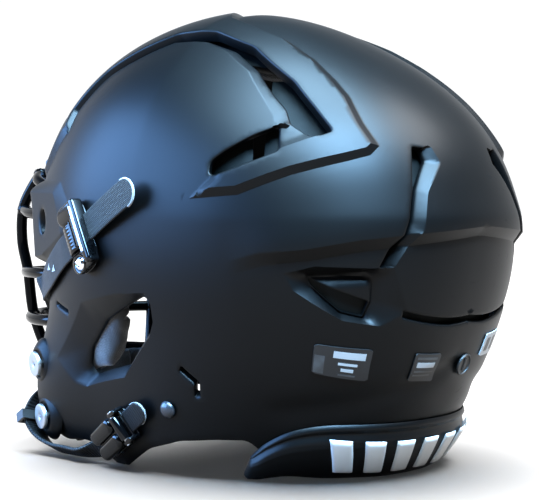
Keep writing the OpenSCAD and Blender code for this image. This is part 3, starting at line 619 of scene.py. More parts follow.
SHELL = shader("shell_satin", (0.0006, 0.00065, 0.0007), 0.40, spec=0.12, grain=1400, grain_depth=0.012,
               mottle=0.10, mottle_size=9, rough_vary=0.03, scratch=0.08)
BUMPER = shader("bumper_satin", (0.0007, 0.00075, 0.0008), 0.38, spec=0.13, grain=1700, mottle=0.12,
                rough_vary=0.05, scratch=0.06)
MASK = shader("mask_black_coat", (0.0008, 0.0008, 0.0009), 0.12, spec=0.06, coat=0.02, coat_rough=0.06,
              grain=220, grain_depth=0.05, mottle=0.2, rough_vary=0.03, scratch=0.08)
GLOSS = shader("gloss_black", (0.0010, 0.0010, 0.0012), 0.10, spec=0.22, coat=0.1, coat_rough=0.05,
               grain=400, grain_depth=0.012, mottle=0.15, mottle_size=60, rough_vary=0.03, scratch=0.1)
CLIP = shader("clip_black", (0.0022, 0.0022, 0.0025), 0.3, grain=600, mottle=0.15, mottle_size=40)
STEEL = shader("turned_steel", (0.40, 0.41, 0.42), 0.40, metal=1.0, grain=1200, grain_depth=0.008,
               mottle=0.05, mottle_size=30, rough_vary=0.04, brush=(60, 2600, 500))
CHROME = shader("screw_chrome", (0.74, 0.75, 0.78), 0.14, metal=1.0, grain=500, mottle=0.1,
                mottle_size=200, rough_vary=0.06, scratch=0.2)
RIM_DARK = shader("steel_rim", (0.22, 0.225, 0.24), 0.32, metal=1.0, grain=700, mottle=0.2, mottle_size=90)
PIN = shader("pin_steel", (0.5, 0.5, 0.52), 0.3, metal=1.0, mottle=0.12)
WEBBING = band_shader("webbing_black", (0.0026, 0.0027, 0.003), 0.5, 62.0, 5.2, 0.34, sheen=0.03)
STITCH = shader("white_stitch", (0.16, 0.165, 0.17), 0.7, grain=2400, grain_depth=0.05, mottle=0.3,
                mottle_size=700, sheen=0.3)
LADDER = band_shader("ladder_black", (0.0024, 0.0024, 0.0026), 0.5, 0.0, 3.4, 0.30)
RIVET = shader("rivet_blue_grey", (0.006, 0.0085, 0.012), 0.36, grain=500, grain_depth=0.03, mottle=0.2,
               mottle_size=120, scratch=0.2, coat=0.2)
GUIDE = shader("guide_grey", (0.011, 0.0105, 0.010), 0.42, grain=500, grain_depth=0.03, mottle=0.2,
               mottle_size=90)
BADGE = shader("badge_white", (0.56, 0.56, 0.55), 0.32, spec=0.35, grain=700, grain_depth=0.015,
               mottle=0.03, mottle_size=60, coat=0.2)
# grey-green foam, its colour made darker than the foam so that the slots it shows through read black: partly
# the liner's colour, partly painted shade
LINER_SHADE_DARKENED = shader("liner_grey_green_darkened_for_shade", (0.0012, 0.0017, 0.0015), 0.62, spec=0.08, grain=1100, grain_depth=0.08,
               mottle=0.18, mottle_size=45, rough_vary=0.1)
PAD = shader("pad_cloth", (0.0036, 0.0038, 0.0042), 0.8, grain_depth=0.22, mottle=0.22, mottle_size=120,
             sheen=0.5, weave=520.0)
CUP_PAD = shader("cup_cloth", (0.0045, 0.0046, 0.005), 0.82, grain_depth=0.2, mottle=0.2, mottle_size=120,
                 sheen=0.4, weave=560.0)
RUBBER = shader("valve_rubber", (0.0022, 0.0022, 0.0023), 0.5, grain_depth=0.04, mottle=0.2)
LABEL = shader("label_grey", (0.0045, 0.0045, 0.0047), 0.42, spec=0.35, grain=1300, grain_depth=0.01,
               mottle=0.15, mottle_size=60)
LABEL_PATCH = shader("label_patch", (0.022, 0.0225, 0.023), 0.5, grain_depth=0.01, mottle=0.5,
                     mottle_size=160)
LABEL_WHITE = shader("label_white", (0.24, 0.24, 0.24), 0.5, grain_depth=0.01, mottle_size=90)


def paint(ob, mat):
    ob.data.materials.clear()
    ob.data.materials.append(mat)
    return ob


# --------------------------------------------------------------- shell ----
def slot_loop(a, b):
    return list(a) + list(b)[::-1]


HOLES = {
    "ear": EAR_HOLE,
    "vee": slot_loop(BAND_EDGE, PANEL_EDGE),
    "arm": ARM_EDGE,
    "vent": slot_loop(VENT_EDGE, VENT_BEVEL_IN),
    "scoop": SCOOP_HOLE,
    "gap": slot_loop(smooth_path(GAP_TOP, 4), smooth_path(GAP_LOW, 4)),
    "ell": ELL_SLOT,
    "slit": SLIT,
}
TEMPLE_AT = on_side((-44.5, -1.5), 1.6)
TEMPLE_TURN = math.radians(22)
TEMPLE_OUT = np.array([math.cos(TEMPLE_TURN), -math.sin(TEMPLE_TURN), 0.0])
TEMPLE_BACK = np.array([math.sin(TEMPLE_TURN), math.cos(TEMPLE_TURN), 0.0])


def temple_loop(half_back, half_up):
    """Oval drawn on the flat of the temple, as side places."""
    pts, steps = [], 28
    for k in range(steps):
        a = 2 * math.pi * k / steps
        q = TEMPLE_AT + half_back * math.cos(a) * TEMPLE_BACK + half_up * math.sin(a) * UP
        pts.append(side_place(unit(q - CENTRE))[0])
    return np.array(pts)


def rim_path():
    """Lower and face edge of the left half as side places, front centre to back centre."""
    front = side_place(globe_way((180, 12)))[0]
    rear = [side_place(globe_way(p))[0] for p in RIM_REAR]
    front[0] = -abs(front[0])
    return rounded([front] + RIM_SIDE + rear, 1.6, closed=False)


def vent_chamfer(p):
    zone = slot_loop([(u - 0.8, v) for u, v in VENT_BEVEL_IN], VENT_BEVEL_OUT)
    a = line_distance(p, VENT_BEVEL_OUT)
    b = line_distance(p, VENT_BEVEL_IN)
    return np.where(inside(p, zone), 4.2 * a / np.maximum(a + b, 1e-6), 0)


def edge_round(edge):
    """Depth taken off by the rounding of an edge that is so many degrees away."""
    return EDGE_ROUND * (1 - np.sqrt(lim(1 - (1 - lim(edge * DEG_MM / EDGE_ROUND)) ** 2)))


def detail(p, edge):
    """Depth cut into the outer face by bevels and rounded edges, in millimetres."""
    cut = ring(p, SCOOP_RIM, SCOOP_FLOOR, 5.4)
    top = line_distance(p, [[47, -13.6], [60.4, -13.2]])
    sill = lim(np.maximum(depth(p, SCOOP_FLOOR), 0) / 0.9)
    cut = cut + sill * (1.6 - 3.4 * soft((top - 0.8) / 3.5))
    cut = cut + ring(p, EAR_BEVEL, EAR_HOLE, 4.4)
    cut = cut + vent_chamfer(p)
    panel = slot_loop(PANEL_CREASE, PANEL_REACH)
    a = line_distance(p, PANEL_CREASE)
    b = line_distance(p, PANEL_EDGE)
    ends = soft((p[:, 0] + 34) / 26)
    cut = cut + np.where(inside(p, panel), 2.4 * ends * a / np.maximum(a + b, 1e-6), 0)
    web = [[42.3, 25.8], [44, 27.5], [49.6, 22.2], [48.47, 21.45], [40.67, 17.75], [39.6, 17.5], [38.2, 21],
           [38.6, 24.9], [39.6, 24.6]]
    cut = cut + np.where(inside(p, web), 0.2 + 2.4 * lim(line_distance(p, WEB_FOOT) / 2.4), 0)
    crack = line_distance(p, [[-40, 24], [-47, 29], [-60, 33]])
    cut = cut + 0.8 * np.exp(-(crack / 0.5) ** 2)
    return cut + edge_round(edge)


def temple_flat(p, d, radius):
    """The temple is a raised flat facet round an oval hole."""
    a = np.maximum(depth(p, TEMPLE_BASE), 0)
    b = np.maximum(-depth(p, TEMPLE_FACE), 0)
    t = lim(a / np.maximum(a + b, 1e-6))
    flat = ((TEMPLE_AT - CENTRE) @ TEMPLE_OUT) / np.maximum(d @ TEMPLE_OUT, 0.2)
    return radius + t * (np.maximum(flat, radius + 0.4) - radius)


def chart_points(holes, rim):
    """Points and edges of the left half of the shell, laid out in [back, up] degrees."""
    pts, edges = [], []

    def add(line, closed):
        first = len(pts)
        pts.extend(line)
        n = len(line)
        for i in range(n if closed else n - 1):
            edges.append((first + i, first + (i + 1) % n))

    def add_kept(line, ok):
        first = len(pts)
        kept = np.nonzero(ok)[0]
        pts.extend(line[kept])
        for i in range(len(kept) - 1):
            if kept[i + 1] == kept[i] + 1:
                edges.append((first + i, first + i + 1))

    border = spaced(rim, 0.8)
    back = math.degrees(math.atan2(rim[-1][1], rim[-1][0]))
    front = math.degrees(math.atan2(rim[0][1], rim[0][0]))
    turn = np.radians(np.arange(back, front + 0.01, 0.85) if front > back else
                      np.arange(back, front + 360.01, 0.85))
    arc = 90 * np.stack([np.cos(turn), np.sin(turn)], 1)
    arc[0], arc[-1] = rim[-1], rim[0]
    add(border, False)
    add(arc, False)
    outline = np.vstack([rim, arc[1:-1]])
    for step in CHART_RINGS:
        for side in (1, -1):
            line = offset_path(border, step * side)
            add_kept(line, inside(line, outline) & (line_distance(line, border) > step * 0.8))
    loops = {}
    for name, loop in holes.items():
        sharp = {"gap": 0.25, "ell": 0.3, "slit": 0.3, "vent": 0.5, "scoop": 0.6}.get(name, 1.0)
        line = spaced(rounded(loop, sharp, True, 3), 0.7, True)
        loops[name] = line
        add(line, True)
        out = -loop_sign(line)
        for step in CHART_RINGS:
            ringed = offset_path(line, out * step, True)
            ok = ((~inside(ringed, line)) & inside(ringed, outline)
                  & (line_distance(ringed, line, True) > step * 0.8))
            add_kept(ringed, ok)
    creases = [(RAISED_SOFT, False), (RAISED_LOW, False), (RIDGE, False), (SCOOP_SHELF, False),
               (SCOOP_RIM, True), (SCOOP_FLOOR, True), (EAR_BEVEL, True), (VENT_BEVEL_OUT, False),
               (WEB_FOOT, False), (PANEL_CREASE, False), (TEMPLE_BASE, True), (TEMPLE_FACE, True)]
    lines = []
    for path, closed in creases:
        line = spaced(path, 0.8, closed)
        lines.append(line)
        lines.append(offset_path(line, 0.35, closed))
        lines.append(offset_path(line, -0.35, closed))
    for gap in (-2.2, -1.85, 1.85, 2.2):
        lines.append(offset_path(spaced(RAISED_LOW, 0.8), gap))
        lines.append(offset_path(spaced(RAISED_SOFT, 0.8), gap))
    for gap in (3.2, 3.5):
        lines.append(offset_path(spaced(RIDGE, 0.8), -gap))
    for line in lines:
        ok = inside(line, outline) & (np.hypot(line[:, 0], line[:, 1]) < 89.5)
        ok &= line_distance(line, border) > 0.6
        for hole in loops.values():
            ok &= ~inside(line, hole) & (line_distance(line, hole, True) > 0.3)
        add_kept(line, ok)
    fixed = np.array(pts)
    grid = []
    for row, y in enumerate(np.arange(-90, 90.01, CHART_STEP * 0.866), 1):
        grid += [(x, y) for x in np.arange(-90 + (row % 2) * CHART_STEP / 2, 90.01, CHART_STEP)]
    grid = np.array(grid)
    grid = grid[inside(grid, outline) & (np.hypot(grid[:, 0], grid[:, 1]) < 89.3)]
    for hole in loops.values():
        grid = grid[~inside(grid, hole)]
    tree = KDTree(len(fixed))
    for i, q in enumerate(fixed):
        tree.insert((q[0], q[1], 0), i)
    tree.balance()
    grid = np.array([q for q in grid if tree.find((q[0], q[1], 0))[2] > 0.5])
    return np.vstack([fixed, grid]), edges, outline, loops, border


def shell_half():
    holes = dict(HOLES)
    holes["temple"] = temple_loop(5.2, 7.4)
    rim = rim_path()
    pts, edges, outline, loops, border = chart_points(holes, rim)
    out = delaunay_2d_cdt([Vector((float(x), float(y))) for x, y in pts], edges, [], 0, 1e-4)
    places, tris = np.array([(v[0], v[1]) for v in out[0]]), np.array([f[:3] for f in out[2]])
    centre = places[tris].mean(1)
    keep = inside(centre, outline)
    for hole in loops.values():
        keep &= ~inside(centre, hole)
    a, b, c = (places[tris[:, k]] for k in range(3))
    area = (b - a)[:, 0] * (c - a)[:, 1] - (b - a)[:, 1] * (c - a)[:, 0]
    keep &= np.abs(area) > 1e-7
    tris = tris[keep]
    wrong = area[keep] < 0
    tris[wrong] = tris[wrong][:, ::-1]
    d = side_way(places)
    edge = line_distance(places, border)
    for name, hole in loops.items():
        spare = SCOOP_EDGE if name == "scoop" else 0.0
        edge = np.minimum(edge, line_distance(places, hole, True) + spare)
    radius = temple_flat(places, d, shell_form(d))
    cut = detail(places, edge)
    outer = radius - cut * slant(d)
    inner = np.minimum(lining_form(d) - WALL * slant(d), outer + edge_round(edge) * slant(d) - 2.2)
    outer_pts = CENTRE + outer[:, None] * d
    inner_pts = CENTRE + inner[:, None] * d
    outer_pts[:, 2] = np.maximum(outer_pts[:, 2], SHELL_LOW)
    inner_pts[:, 2] = np.maximum(inner_pts[:, 2], SHELL_LOW)
    n = len(places)
    middle = np.hypot(places[:, 0], places[:, 1]) > 89.9
    outer_pts[middle, 0] = 0
    inner_pts[middle, 0] = 0
    sides = {}
    for t in tris:
        for k in range(3):
            sides[int(t[k]), int(t[(k + 1) % 3])] = True
    faces = [tuple(t) for t in tris] + [tuple(t[::-1] + n) for t in tris]
    for i, j in sides:
        if (j, i) not in sides and not (middle[i] and middle[j]):
            faces.append((j, i, i + n, j + n))
    verts = np.vstack([outer_pts, inner_pts])
    return verts, faces


def boss(p):
    """Raised ring round a release head, part of the shell moulding."""
    m = seat(p, HEAD_TIP)
    profile = [(0, 0.42), (7.6, 0.42), (8.1, 0.6), (8.2, 1.6), (8.5, 2.0), (9.1, 2.2), (9.8, 2.1),
               (10.8, 1.6), (12.2, 0.5), (13.6, -0.7), (14.6, -1.8), (15.2, -3.0)]
    return lathe("boss", profile, m)


def build_shell():
    verts, faces = shell_half()
    half = add_mesh("shell_half", verts, faces, 40)
    for p in (UPPER_HEAD, LOWER_HEAD):
        half = joined("shell_half", half, boss(p))
    other = copy_of(half, "shell_other")
    place(other, MIRROR)
    whole = joined("helmet_shell", half, other)
    bm = bmesh.new()
    bm.from_mesh(whole.data)
    seam = [v for v in bm.verts if abs(v.co.x) < 2e-6]
    bmesh.ops.remove_doubles(bm, verts=seam, dist=1e-5)
    bm.to_mesh(whole.data)
    bm.free()
    shade(whole, 32)
    paint(whole, SHELL)
    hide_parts("shell")
    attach(whole, "helmet")
    return whole


build_shell()


# ------------------------------------------------------- small helpers ----
def done(ob, body, slot, *nodes):
    """Rides on its body and stands for its CAD nodes; slot is not used."""
    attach(ob, body)
    if nodes:
        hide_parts(*nodes)
    return ob


def done_pair(ob, stem, body, slot):
    """Left piece and its mirror image, each standing for the CAD node of its side."""
    other = copy_of(ob, stem + "_shape_right")
    ob.name = stem + "_shape_left"
    place(other, MIRROR)
    for piece, side in zip((ob, other), SIDES):
        done(piece, body if body == "helmet" else f"{body}_{side}", slot, f"{stem}_{side}")
    return ob, other


def done_both(ob, name, slot, *nodes):
    """One piece made of the left shape and its mirror image."""
    other = copy_of(ob, name + "_other")
    place(other, MIRROR)
    return done(shaded(joined(name, ob, other)), "helmet", slot, *nodes)


def shaded(ob, angle=40):
    shade(ob, angle)
    return ob


def cad_node(name, mat, bevel=0.0):
    """Gives a carried-over CAD node its material, and takes the hard edge off it."""
    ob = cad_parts[name]
    if not ob.material_slots:
        ob.data.materials.append(mat)
    for s in ob.material_slots:
        s.material = mat
    if bevel:
        m = ob.modifiers.new("soft edge", "BEVEL")
        m.width = bevel * MM
        m.segments = 3
        m.limit_method = "ANGLE"
        m.angle_limit = math.radians(40)
        m.harden_normals = False


def local(matrix, x, y, z):
    return np.array(matrix @ Vector((x, y, z))) / MM


def turned(matrix, x, y, z):
    return np.array(matrix.to_3x3() @ Vector((x, y, z))) / MM


def sheet_faces(n, m):
    """Faces of a closed solid between two grids of n rows of m points, the low grid first."""
    faces = []
    k = n * m
    for i in range(n - 1):
        for j in range(m - 1):
            a = i * m + j
            faces.append((k + a, k + a + 1, k + a + m + 1, k + a + m))
            faces.append((a, a + m, a + m + 1, a + 1))
    for j in range(m - 1):
        a = (n - 1) * m + j
        faces.append((j, j + 1, k + j + 1, k + j))
        faces.append((a, k + a, k + a + 1, a + 1))
    for i in range(n - 1):
        a = i * m
        b = a + m - 1
        faces.append((a, k + a, k + a + m, a + m))
        faces.append((b, b + m, k + b + m, k + b))
    return faces


def sheet_solid(name, rows_low, rows_high, angle=40):
    """Closed solid between two matching grids of points."""
    low, high = np.asarray(rows_low, float), np.asarray(rows_high, float)
    n, m = low.shape[:2]
    verts = np.vstack([low.reshape(-1, 3), high.reshape(-1, 3)])
    ob = add_mesh(name, verts, sheet_faces(n, m), angle)
    fix_normals(ob)
    return shaded(ob, angle)


def top_way(p):
    p = np.radians(arr(p))
    return unit(np.stack([np.tan(p[:, 0]), np.tan(p[:, 1]), np.ones(len(p))], 1))


def laid(way, left, right, low, high, along, across, ends):
    """Low and high grid of a sheet that follows the shell between two edges; ends tapers its height."""
    a, b = smooth_path(left, along), smooth_path(right, along)
    t = np.linspace(0, 1, across + 1)
    grids = []
    for off in (np.full(len(t), low), np.interp(t, high[:, 0], high[:, 1])):
        rows = []
        for i in range(len(a)):
            k = float(np.interp(i / (len(a) - 1), *ends))
            d = way(a[i] + (b[i] - a[i]) * t[:, None])
            rows.append(place_rows(at, d, low + (off - low) * k))
        grids.append(rows)
    return grids


def place_rows(put, d, off):
    form = shell_form(d) if put is at else lining_form(d)
    return CENTRE + (form + off * slant(d))[:, None] * d


def table_of(*pairs):
    return np.array(pairs, float)


def run(path):
    """Length from the start of a path to each of its points."""
    return np.concatenate([[0], np.cumsum(np.linalg.norm(np.diff(path, axis=0), axis=1))])


def ribbon(name, centre, half, thick, mat, tip):
    """Flat band from centre points and half-width vectors, its two ends rounded over a length tip."""
    c, h = np.asarray(centre, float), np.asarray(half, float)
    n = len(c)
    length = run(c)
    scale = np.ones(n)
    for i in range(n):
        for rest in (length[i], length[-1] - length[i]):
            if rest < tip:
                scale[i] = math.sqrt(max(0.0, 1 - (1 - rest / tip) ** 2)) * 0.97 + 0.03
    t = unit(np.gradient(c, axis=0))
    up = unit(np.cross(h, t))
    across = [-1, -0.96, -0.86, -0.5, 0, 0.5, 0.86, 0.96, 1]
    bulge = [0.45, 0.86, 1, 1, 1, 1, 1, 0.86, 0.45]
    verts, uvs = [], []
    for side in (-1, 1):
        for i in range(n):
            for s, b in zip(across, bulge):
                verts.append(c[i] + h[i] * s * scale[i] + up[i] * side * b * thick / 2)
                uvs.append((0.5 + s * scale[i] / 2, length[i]))
    ob = add_mesh(name, verts, sheet_faces(n, len(across)), 50)
    layer = ob.data.uv_layers.new(name="band")
    for loop in ob.data.loops:
        layer.data[loop.index].uv = uvs[loop.vertex_index]
    fix_normals(ob)
    return paint(shaded(ob, 50), mat)


def rods(name, paths, radius, mat, sides=16):
    """Several round rods as one piece; a path may bring its own radii in a tuple."""
    verts, faces = [], []
    for p in paths:
        p, r = p if isinstance(p, tuple) else (p, radius)
        v, f = tube(p, r, sides)
        k = len(verts)
        verts += [tuple(q) for q in v]
        faces += [tuple(i + k for i in g) for g in f]
    ob = add_mesh(name, verts, faces, 50)
    fix_normals(ob)
    return paint(shaded(ob, 50), mat)


# ------------------------------------------------------------ facemask ----
BAR, WELD = 3.5, 4.5         # radius of the wire and of the beads where wires meet
NOSE = [[81.6, -96, 108], [80, -115, 108], [75, -135, 108], [66, -152, 107.5], [56, -163, 107],
        [36, -172, 106.5]]
MOUTH = [[82, -95, 80], [81, -114, 79.5], [75, -134, 79], [65, -150, 79], [53, -161, 79],
         [34, -172, 79]]
CHIN = [[82.3, -92, 44.5], [80.5, -108, 45], [73, -126, 47], [61, -142, 49], [45, -155, 51],
        [26, -163, 52.5]]
BOTTOM = [[80, -87, 13.5], [79, -103, 14], [69, -123, 16], [53, -138, 20], [34, -149, 25]]
BROW = [[76, -106, 160], [75.5, -120, 161.5], [69, -137, 165.5], [58, -148, 169], [46, -152.5, 170]]
TEMPLE = [[76, -106, 160], [77, -101, 156], [77.5, -101, 151], [77.5, -106, 146], [76.5, -124, 145],
          [70, -144, 145], [58.5, -163.5, 147]]
UPRIGHT = [[58, -148, 170], [58.5, -163.5, 150], [57.5, -167, 128], [56, -163, 107], [53, -161, 79],
           [45, -155, 51], [34, -149, 25]]
SIDE_BAR = [[79.7, -87, 10], [81.2, -88.2, 23.3], [82.7, -93.2, 54.7], [82, -95, 80], [81.6, -96, 111]]
MIDDLE = [[0, -178, 108], [0, -177, 79], [0, -167, 53], [0, -156, 27]]
HOOPS = ((NOSE, [0, -178, 106]), (MOUTH, [0, -177, 79]), (CHIN, [0, -167, 53]), (BOTTOM, [0, -156, 29]))


def flip(path):
    return [[-p[0], p[1], p[2]] for p in path]


def weld(p):
    """Bead where two wires of the mask meet."""
    p = np.asarray(p, float)
    steps = [(-1.0, 0.05), (-0.8, 0.6), (-0.4, 0.92), (0, 1.0), (0.4, 0.92), (0.8, 0.6), (1.0, 0.05)]
    return [p + np.array([0, 0, s * WELD]) for s, _ in steps], [w * WELD for _, w in steps]


def build_facemask():
    paths = [smooth_path(half + [middle] + flip(half[::-1]), 7) for half, middle in HOOPS]
    paths.append(smooth_path(BROW + flip(BROW[::-1]), 7))
    paths.append(smooth_path(MIDDLE, 6))
    spots = [SIDE_BAR[3], SIDE_BAR[4], SIDE_BAR[2]] + UPRIGHT[3:] + [TEMPLE[-1], BROW[0], BROW[3], BOTTOM[0]]
    for turn in (lambda p: p, flip):
        paths += [smooth_path(turn(TEMPLE), 6), smooth_path(turn(UPRIGHT), 7), smooth_path(turn(SIDE_BAR), 6)]
        paths += [weld(q) for q in turn(spots)]
    paths += [weld(q) for q in MIDDLE]
    moved = []
    for p in paths:
        if isinstance(p, tuple):
            moved.append((np.asarray(p[0]) + SHIFT, np.array(p[1])))
        else:
            moved.append(np.asarray(p) + SHIFT)
    ob = rods("facemask_wire", moved, BAR, MASK)
    done(ob, "helmet", "mask_coating", "facemask")


# ------------------------------------------------------------- bumpers ----
BADGE_BEARINGS = (-30, -20, -10, 0, 10, 20, 30)


def build_bumpers():
    top = [[-57, -53.5], [-51, -50], [-44, -47], [-34, -45], [-20, -44], [0, -43.8], [20, -44], [34, -45],
           [44, -47], [51, -50], [57, -53.5]]
    low = [[-60, -57], [-51, -56.5], [-44, -56], [-34, -56], [-20, -55.8], [0, -55.8], [20, -55.8],
           [34, -56], [44, -56], [51, -56.5], [60, -57]]
    high = table_of((0, 0.9), (0.015, 2.0), (0.04, 2.9), (0.075, 3.1), (0.1, 2.7), (0.13, 2.9), (0.2, 5.6),
                    (0.3, 6.7), (0.5, 7.0), (0.7, 7.0), (0.86, 6.8), (0.93, 6.2), (0.97, 5.2), (1, 3.6))
    grids = laid(globe_way, top, low, 0.8, high, 9, 48,
                 ([0, 0.02, 0.06, 0.94, 0.98, 1], [0.35, 0.75, 1, 1, 0.75, 0.35]))
    grids = [np.array(g) for g in grids]
    for g in grids:
        g[..., 2] = np.maximum(g[..., 2], 0.3)
    ob = paint(sheet_solid("rear_bumper_shape", grids[0], grids[1], 50), BUMPER)
    done(ob, "helmet", "bumper_plastic", "rear_bumper")
    bars = []
    for b in BADGE_BEARINGS:
        left, right = [[b - 4.8, -53.3], [b - 2, -46]], [[b + 1.5, -53.3], [b + 4.3, -46]]
        high = table_of((0, 7.6), (0.05, 8.2), (0.12, 8.5), (0.88, 8.5), (0.95, 8.2), (1, 7.6))
        g = laid(globe_way, left, right, 7.15, high, 14, 14,
                 ([0, 0.05, 0.12, 0.88, 0.95, 1], [0.3, 0.8, 1, 1, 0.8, 0.3]))
        bars.append(sheet_solid("badge", g[0], g[1], 40))
    ob = paint(shaded(joined("badge_bars_shape", *bars), 60), BADGE)
    done(ob, "helmet", "badge_white", "badge_bars")
    high = table_of((0, 0.8), (0.04, 2.2), (0.12, 3.3), (0.5, 3.8), (0.88, 3.3), (0.96, 2.2), (1, 0.8))
    g = laid(globe_way, [[168, 12.5], [169, 20], [170, 27]], [[192, 12.5], [191, 20], [190, 27]],
             0.35, high, 10, 30, ([0, 0.04, 0.12, 0.88, 0.96, 1], [0.25, 0.65, 1, 1, 0.65, 0.25]))
    ob = paint(sheet_solid("front_bumper_shape", g[0], g[1], 60), BUMPER)
    done(ob, "helmet", "bumper_plastic", "front_bumper")


# ------------------------------------------------------- release heads ----
def build_release_heads():
    profile = [(0, 4.25), (0.9, 4.2), (1.2, 4.75), (1.75, 4.95), (2.1, 5.12), (2.3, 5.2), (4.4, 5.26),
               (6.7, 5.3), (7.15, 5.25), (7.5, 5.0), (7.62, 4.6), (7.62, 3.35), (7.3, 3.08), (2.55, 3.0),
               (2.5, -11.6), (0, -11.9)]
    for stem, p in (("release_upper", UPPER_HEAD), ("release_lower", LOWER_HEAD)):
        m = seat(p, HEAD_TIP)
        head = paint(lathe("head", profile, m, 72, 28), STEEL)
        dot = paint(lathe("dot", [(0, 4.3), (0.85, 4.3), (1.0, 4.55), (0.95, 4.9), (0.6, 5.05), (0, 5.1)],
                          m, 24), RIM_DARK)
        ob = joined(stem + "_shape", head, dot)
        shade(ob, 28)
        done_pair(ob, stem, stem, "release_steel")


# ---------------------------------------------------------- chin straps ----
BUCKLE = seat((-20, -5), (-10.5, 1.5), 28)
RATCHET = seat((-13, -50.5), (-5.5, 18), 32)
SCREW = BUCKLE @ Matrix.Translation((0, -2, -16))
WIDE = 8.0                  # half the width of the webbing
TIP = 8.0                   # length of the rounded end of a band


def cup_point(s, t, off):
    return (np.array([s * CUP_HALF, -97.0, 40.0]) + 24 * t * np.array([0, -0.34, 0.94])
            + (21 * (1 - 0.5 * s * s - 0.45 * t * t) + off) * np.array([0, -0.94, -0.34]))


def row_in(matrix, x, y, half):
    return local(matrix, x, y, 0), turned(matrix, 0, 0, half)


def row_on_shell(p, q, off):
    a, b = on_side(p, off), on_side(q, off)
    return (a + b) / 2, WIDE * unit(a - b)


def row_free(c, way):
    return np.array(c, float) + SHIFT, WIDE * unit(np.array(way, float))


def upper_rows():
    rows = [row_in(BUCKLE, x, y, WIDE) for x, y in ((0.5, 60), (1.2, 52), (2.2, 40), (2.7, 28), (2.8, 14),
                                               (2.8, -14))]
    rows += [row_on_shell([-33, -7], [-29.4, -14.6], 2.8), row_on_shell([-41, -11.5], [-37, -19], 2.8),
             row_on_shell([-51, -15.8], [-47.4, -23], 2.8),
             row_free([86.5, -114, 98.5], [0.1, -0.42, 0.9]), row_free([80.5, -118, 94], [0.15, -0.3, 0.94]),
             row_free([69, -121, 86], [0.05, -0.25, 0.97]), row_free([54, -126, 72], [-0.35, -0.2, 0.9]),
             (cup_point(1.02, 0.62, 5.2), WIDE * unit(np.array([-0.5, -0.25, 0.8]))),
             (cup_point(0.74, 0.56, 5), WIDE * unit(np.array([-0.4, -0.28, 0.86])))]
    return rows


def band_rows(rows, step=1.6):
    """Smooth rows resampled evenly, closer at the tail."""
    c = smooth_path([r[0] for r in rows], 24)
    h = smooth_path([r[1] for r in rows], 24)
    length = run(c)
    marks = np.concatenate([TIP * (1 - np.cos(np.linspace(0, math.pi / 2, 13)))[:-1],
                            np.arange(TIP, length[-1] - TIP, step),
                            length[-1] - TIP * (1 - np.cos(np.linspace(math.pi / 2, 0, 13)))])
    pick = lambda v: np.stack([np.interp(marks, length, v[:, k]) for k in range(3)], 1)
    return pick(c), pick(h)


def edge_line(c, h, reach):
    """Line of stitching round the rounded tail of a band."""
    length = run(c)
    out = []
    for i in range(len(c)):
        if length[i] > reach:
            break
        s = math.sqrt(max(0.0, 1 - (1 - min(length[i] / TIP, 1)) ** 2)) * 0.965 + 0.03
        out.append((c[i], h[i] * s))
    return np.array([a - b for a, b in out[::-1]] + [a + b for a, b in out])


def build_upper_strap():
    c, h = band_rows(upper_rows())
    band = ribbon("upper_strap_shape", c, h, 1.6, WEBBING, 8)
    up = unit(np.cross(h, unit(np.gradient(c, axis=0))))
    out = 1.0 if (up[4] @ unit(c[4] - CENTRE)) > 0 else -1.0
    loops = [rods("stitch", [edge_line(c, h * 0.985, 8.5)], 0.75, STITCH, 8)]
    for k, (dist, side) in enumerate(((5.5, -0.25), (14.5, 0.3))):
        i = int(np.argmin(np.linalg.norm(c - local(BUCKLE, 2.8, -36 - dist, 0), axis=1)))
        t = unit(c[i + 1] - c[i - 1])
        w = unit(h[i])
        mid = c[i] + w * side * 8 + up[i] * out * 0.86
        shape = [(-3.6, 0), (2.6, 2.1), (1.2, 0), (2.6, -2.1)]
        low = [mid - t * a + w * b for a, b in shape]
        high = [q + up[i] * out * 0.12 for q in low]
        faces = [(0, 1, 2), (0, 2, 3), (4, 6, 5), (4, 7, 6)]
        faces += [(j, j + 4, (j + 1) % 4 + 4, (j + 1) % 4) for j in range(4)]
        arrow = add_mesh(f"arrow{k}", low + high, faces, 30)
        fix_normals(arrow)
        loops.append(paint(arrow, STITCH))
    ob = joined("upper_strap_shape", band, *loops)
    shade(ob, 50)
    done_pair(ob, "upper_strap", "helmet", "webbing")


def lower_rows():
    rows = [row_in(RATCHET, x, y, 6.5) for x, y in ((2.4, 34), (2.9, 22), (2.9, 8), (2.9, -8), (2.9, -20))]
    spots = [([97, -64, 5.6], [5.8, 0.4, 3]), ([95, -80, 4.8], [5.6, 0.4, 3]),
             ([94, -96, 5.4], [5.6, 0.4, 3]), ([93, -109, 10.5], [6, -0.6, 2.6]),
             ([91, -117.4, 20.5], [6.3, -1.5, 1.4]), ([85.5, -119.5, 28.5], [5.4, -1.4, 3]),
             ([77, -121.5, 31.5], [3, -1.2, 5.8]), ([65, -124, 32.5], [0.6, -1.4, 6.4]),
             ([53, -128, 32.5], [0.4, -1.6, 6.4])]
    rows += [(np.array(a, float) + SHIFT, np.array(b, float)) for a, b in spots]
    rows += [(cup_point(1.02, -0.3, 6.4), np.array([0.4, -1.6, 6.3])),
             (cup_point(0.74, -0.36, 6.4), np.array([0.5, -1.8, 6.1]))]
    return rows


def build_lower_strap():
    c, h = band_rows(lower_rows(), 1.5)
    band = ribbon("lower_strap_shape", c, h, 2.2, LADDER, 6.5)
    edge = rods("edge", [edge_line(c, h * 0.985, 9)], 0.55, STITCH, 8)
    ob = joined("lower_strap_shape", band, edge)
    shade(ob, 50)
    done_pair(ob, "lower_strap", "helmet", "ladder_strap")


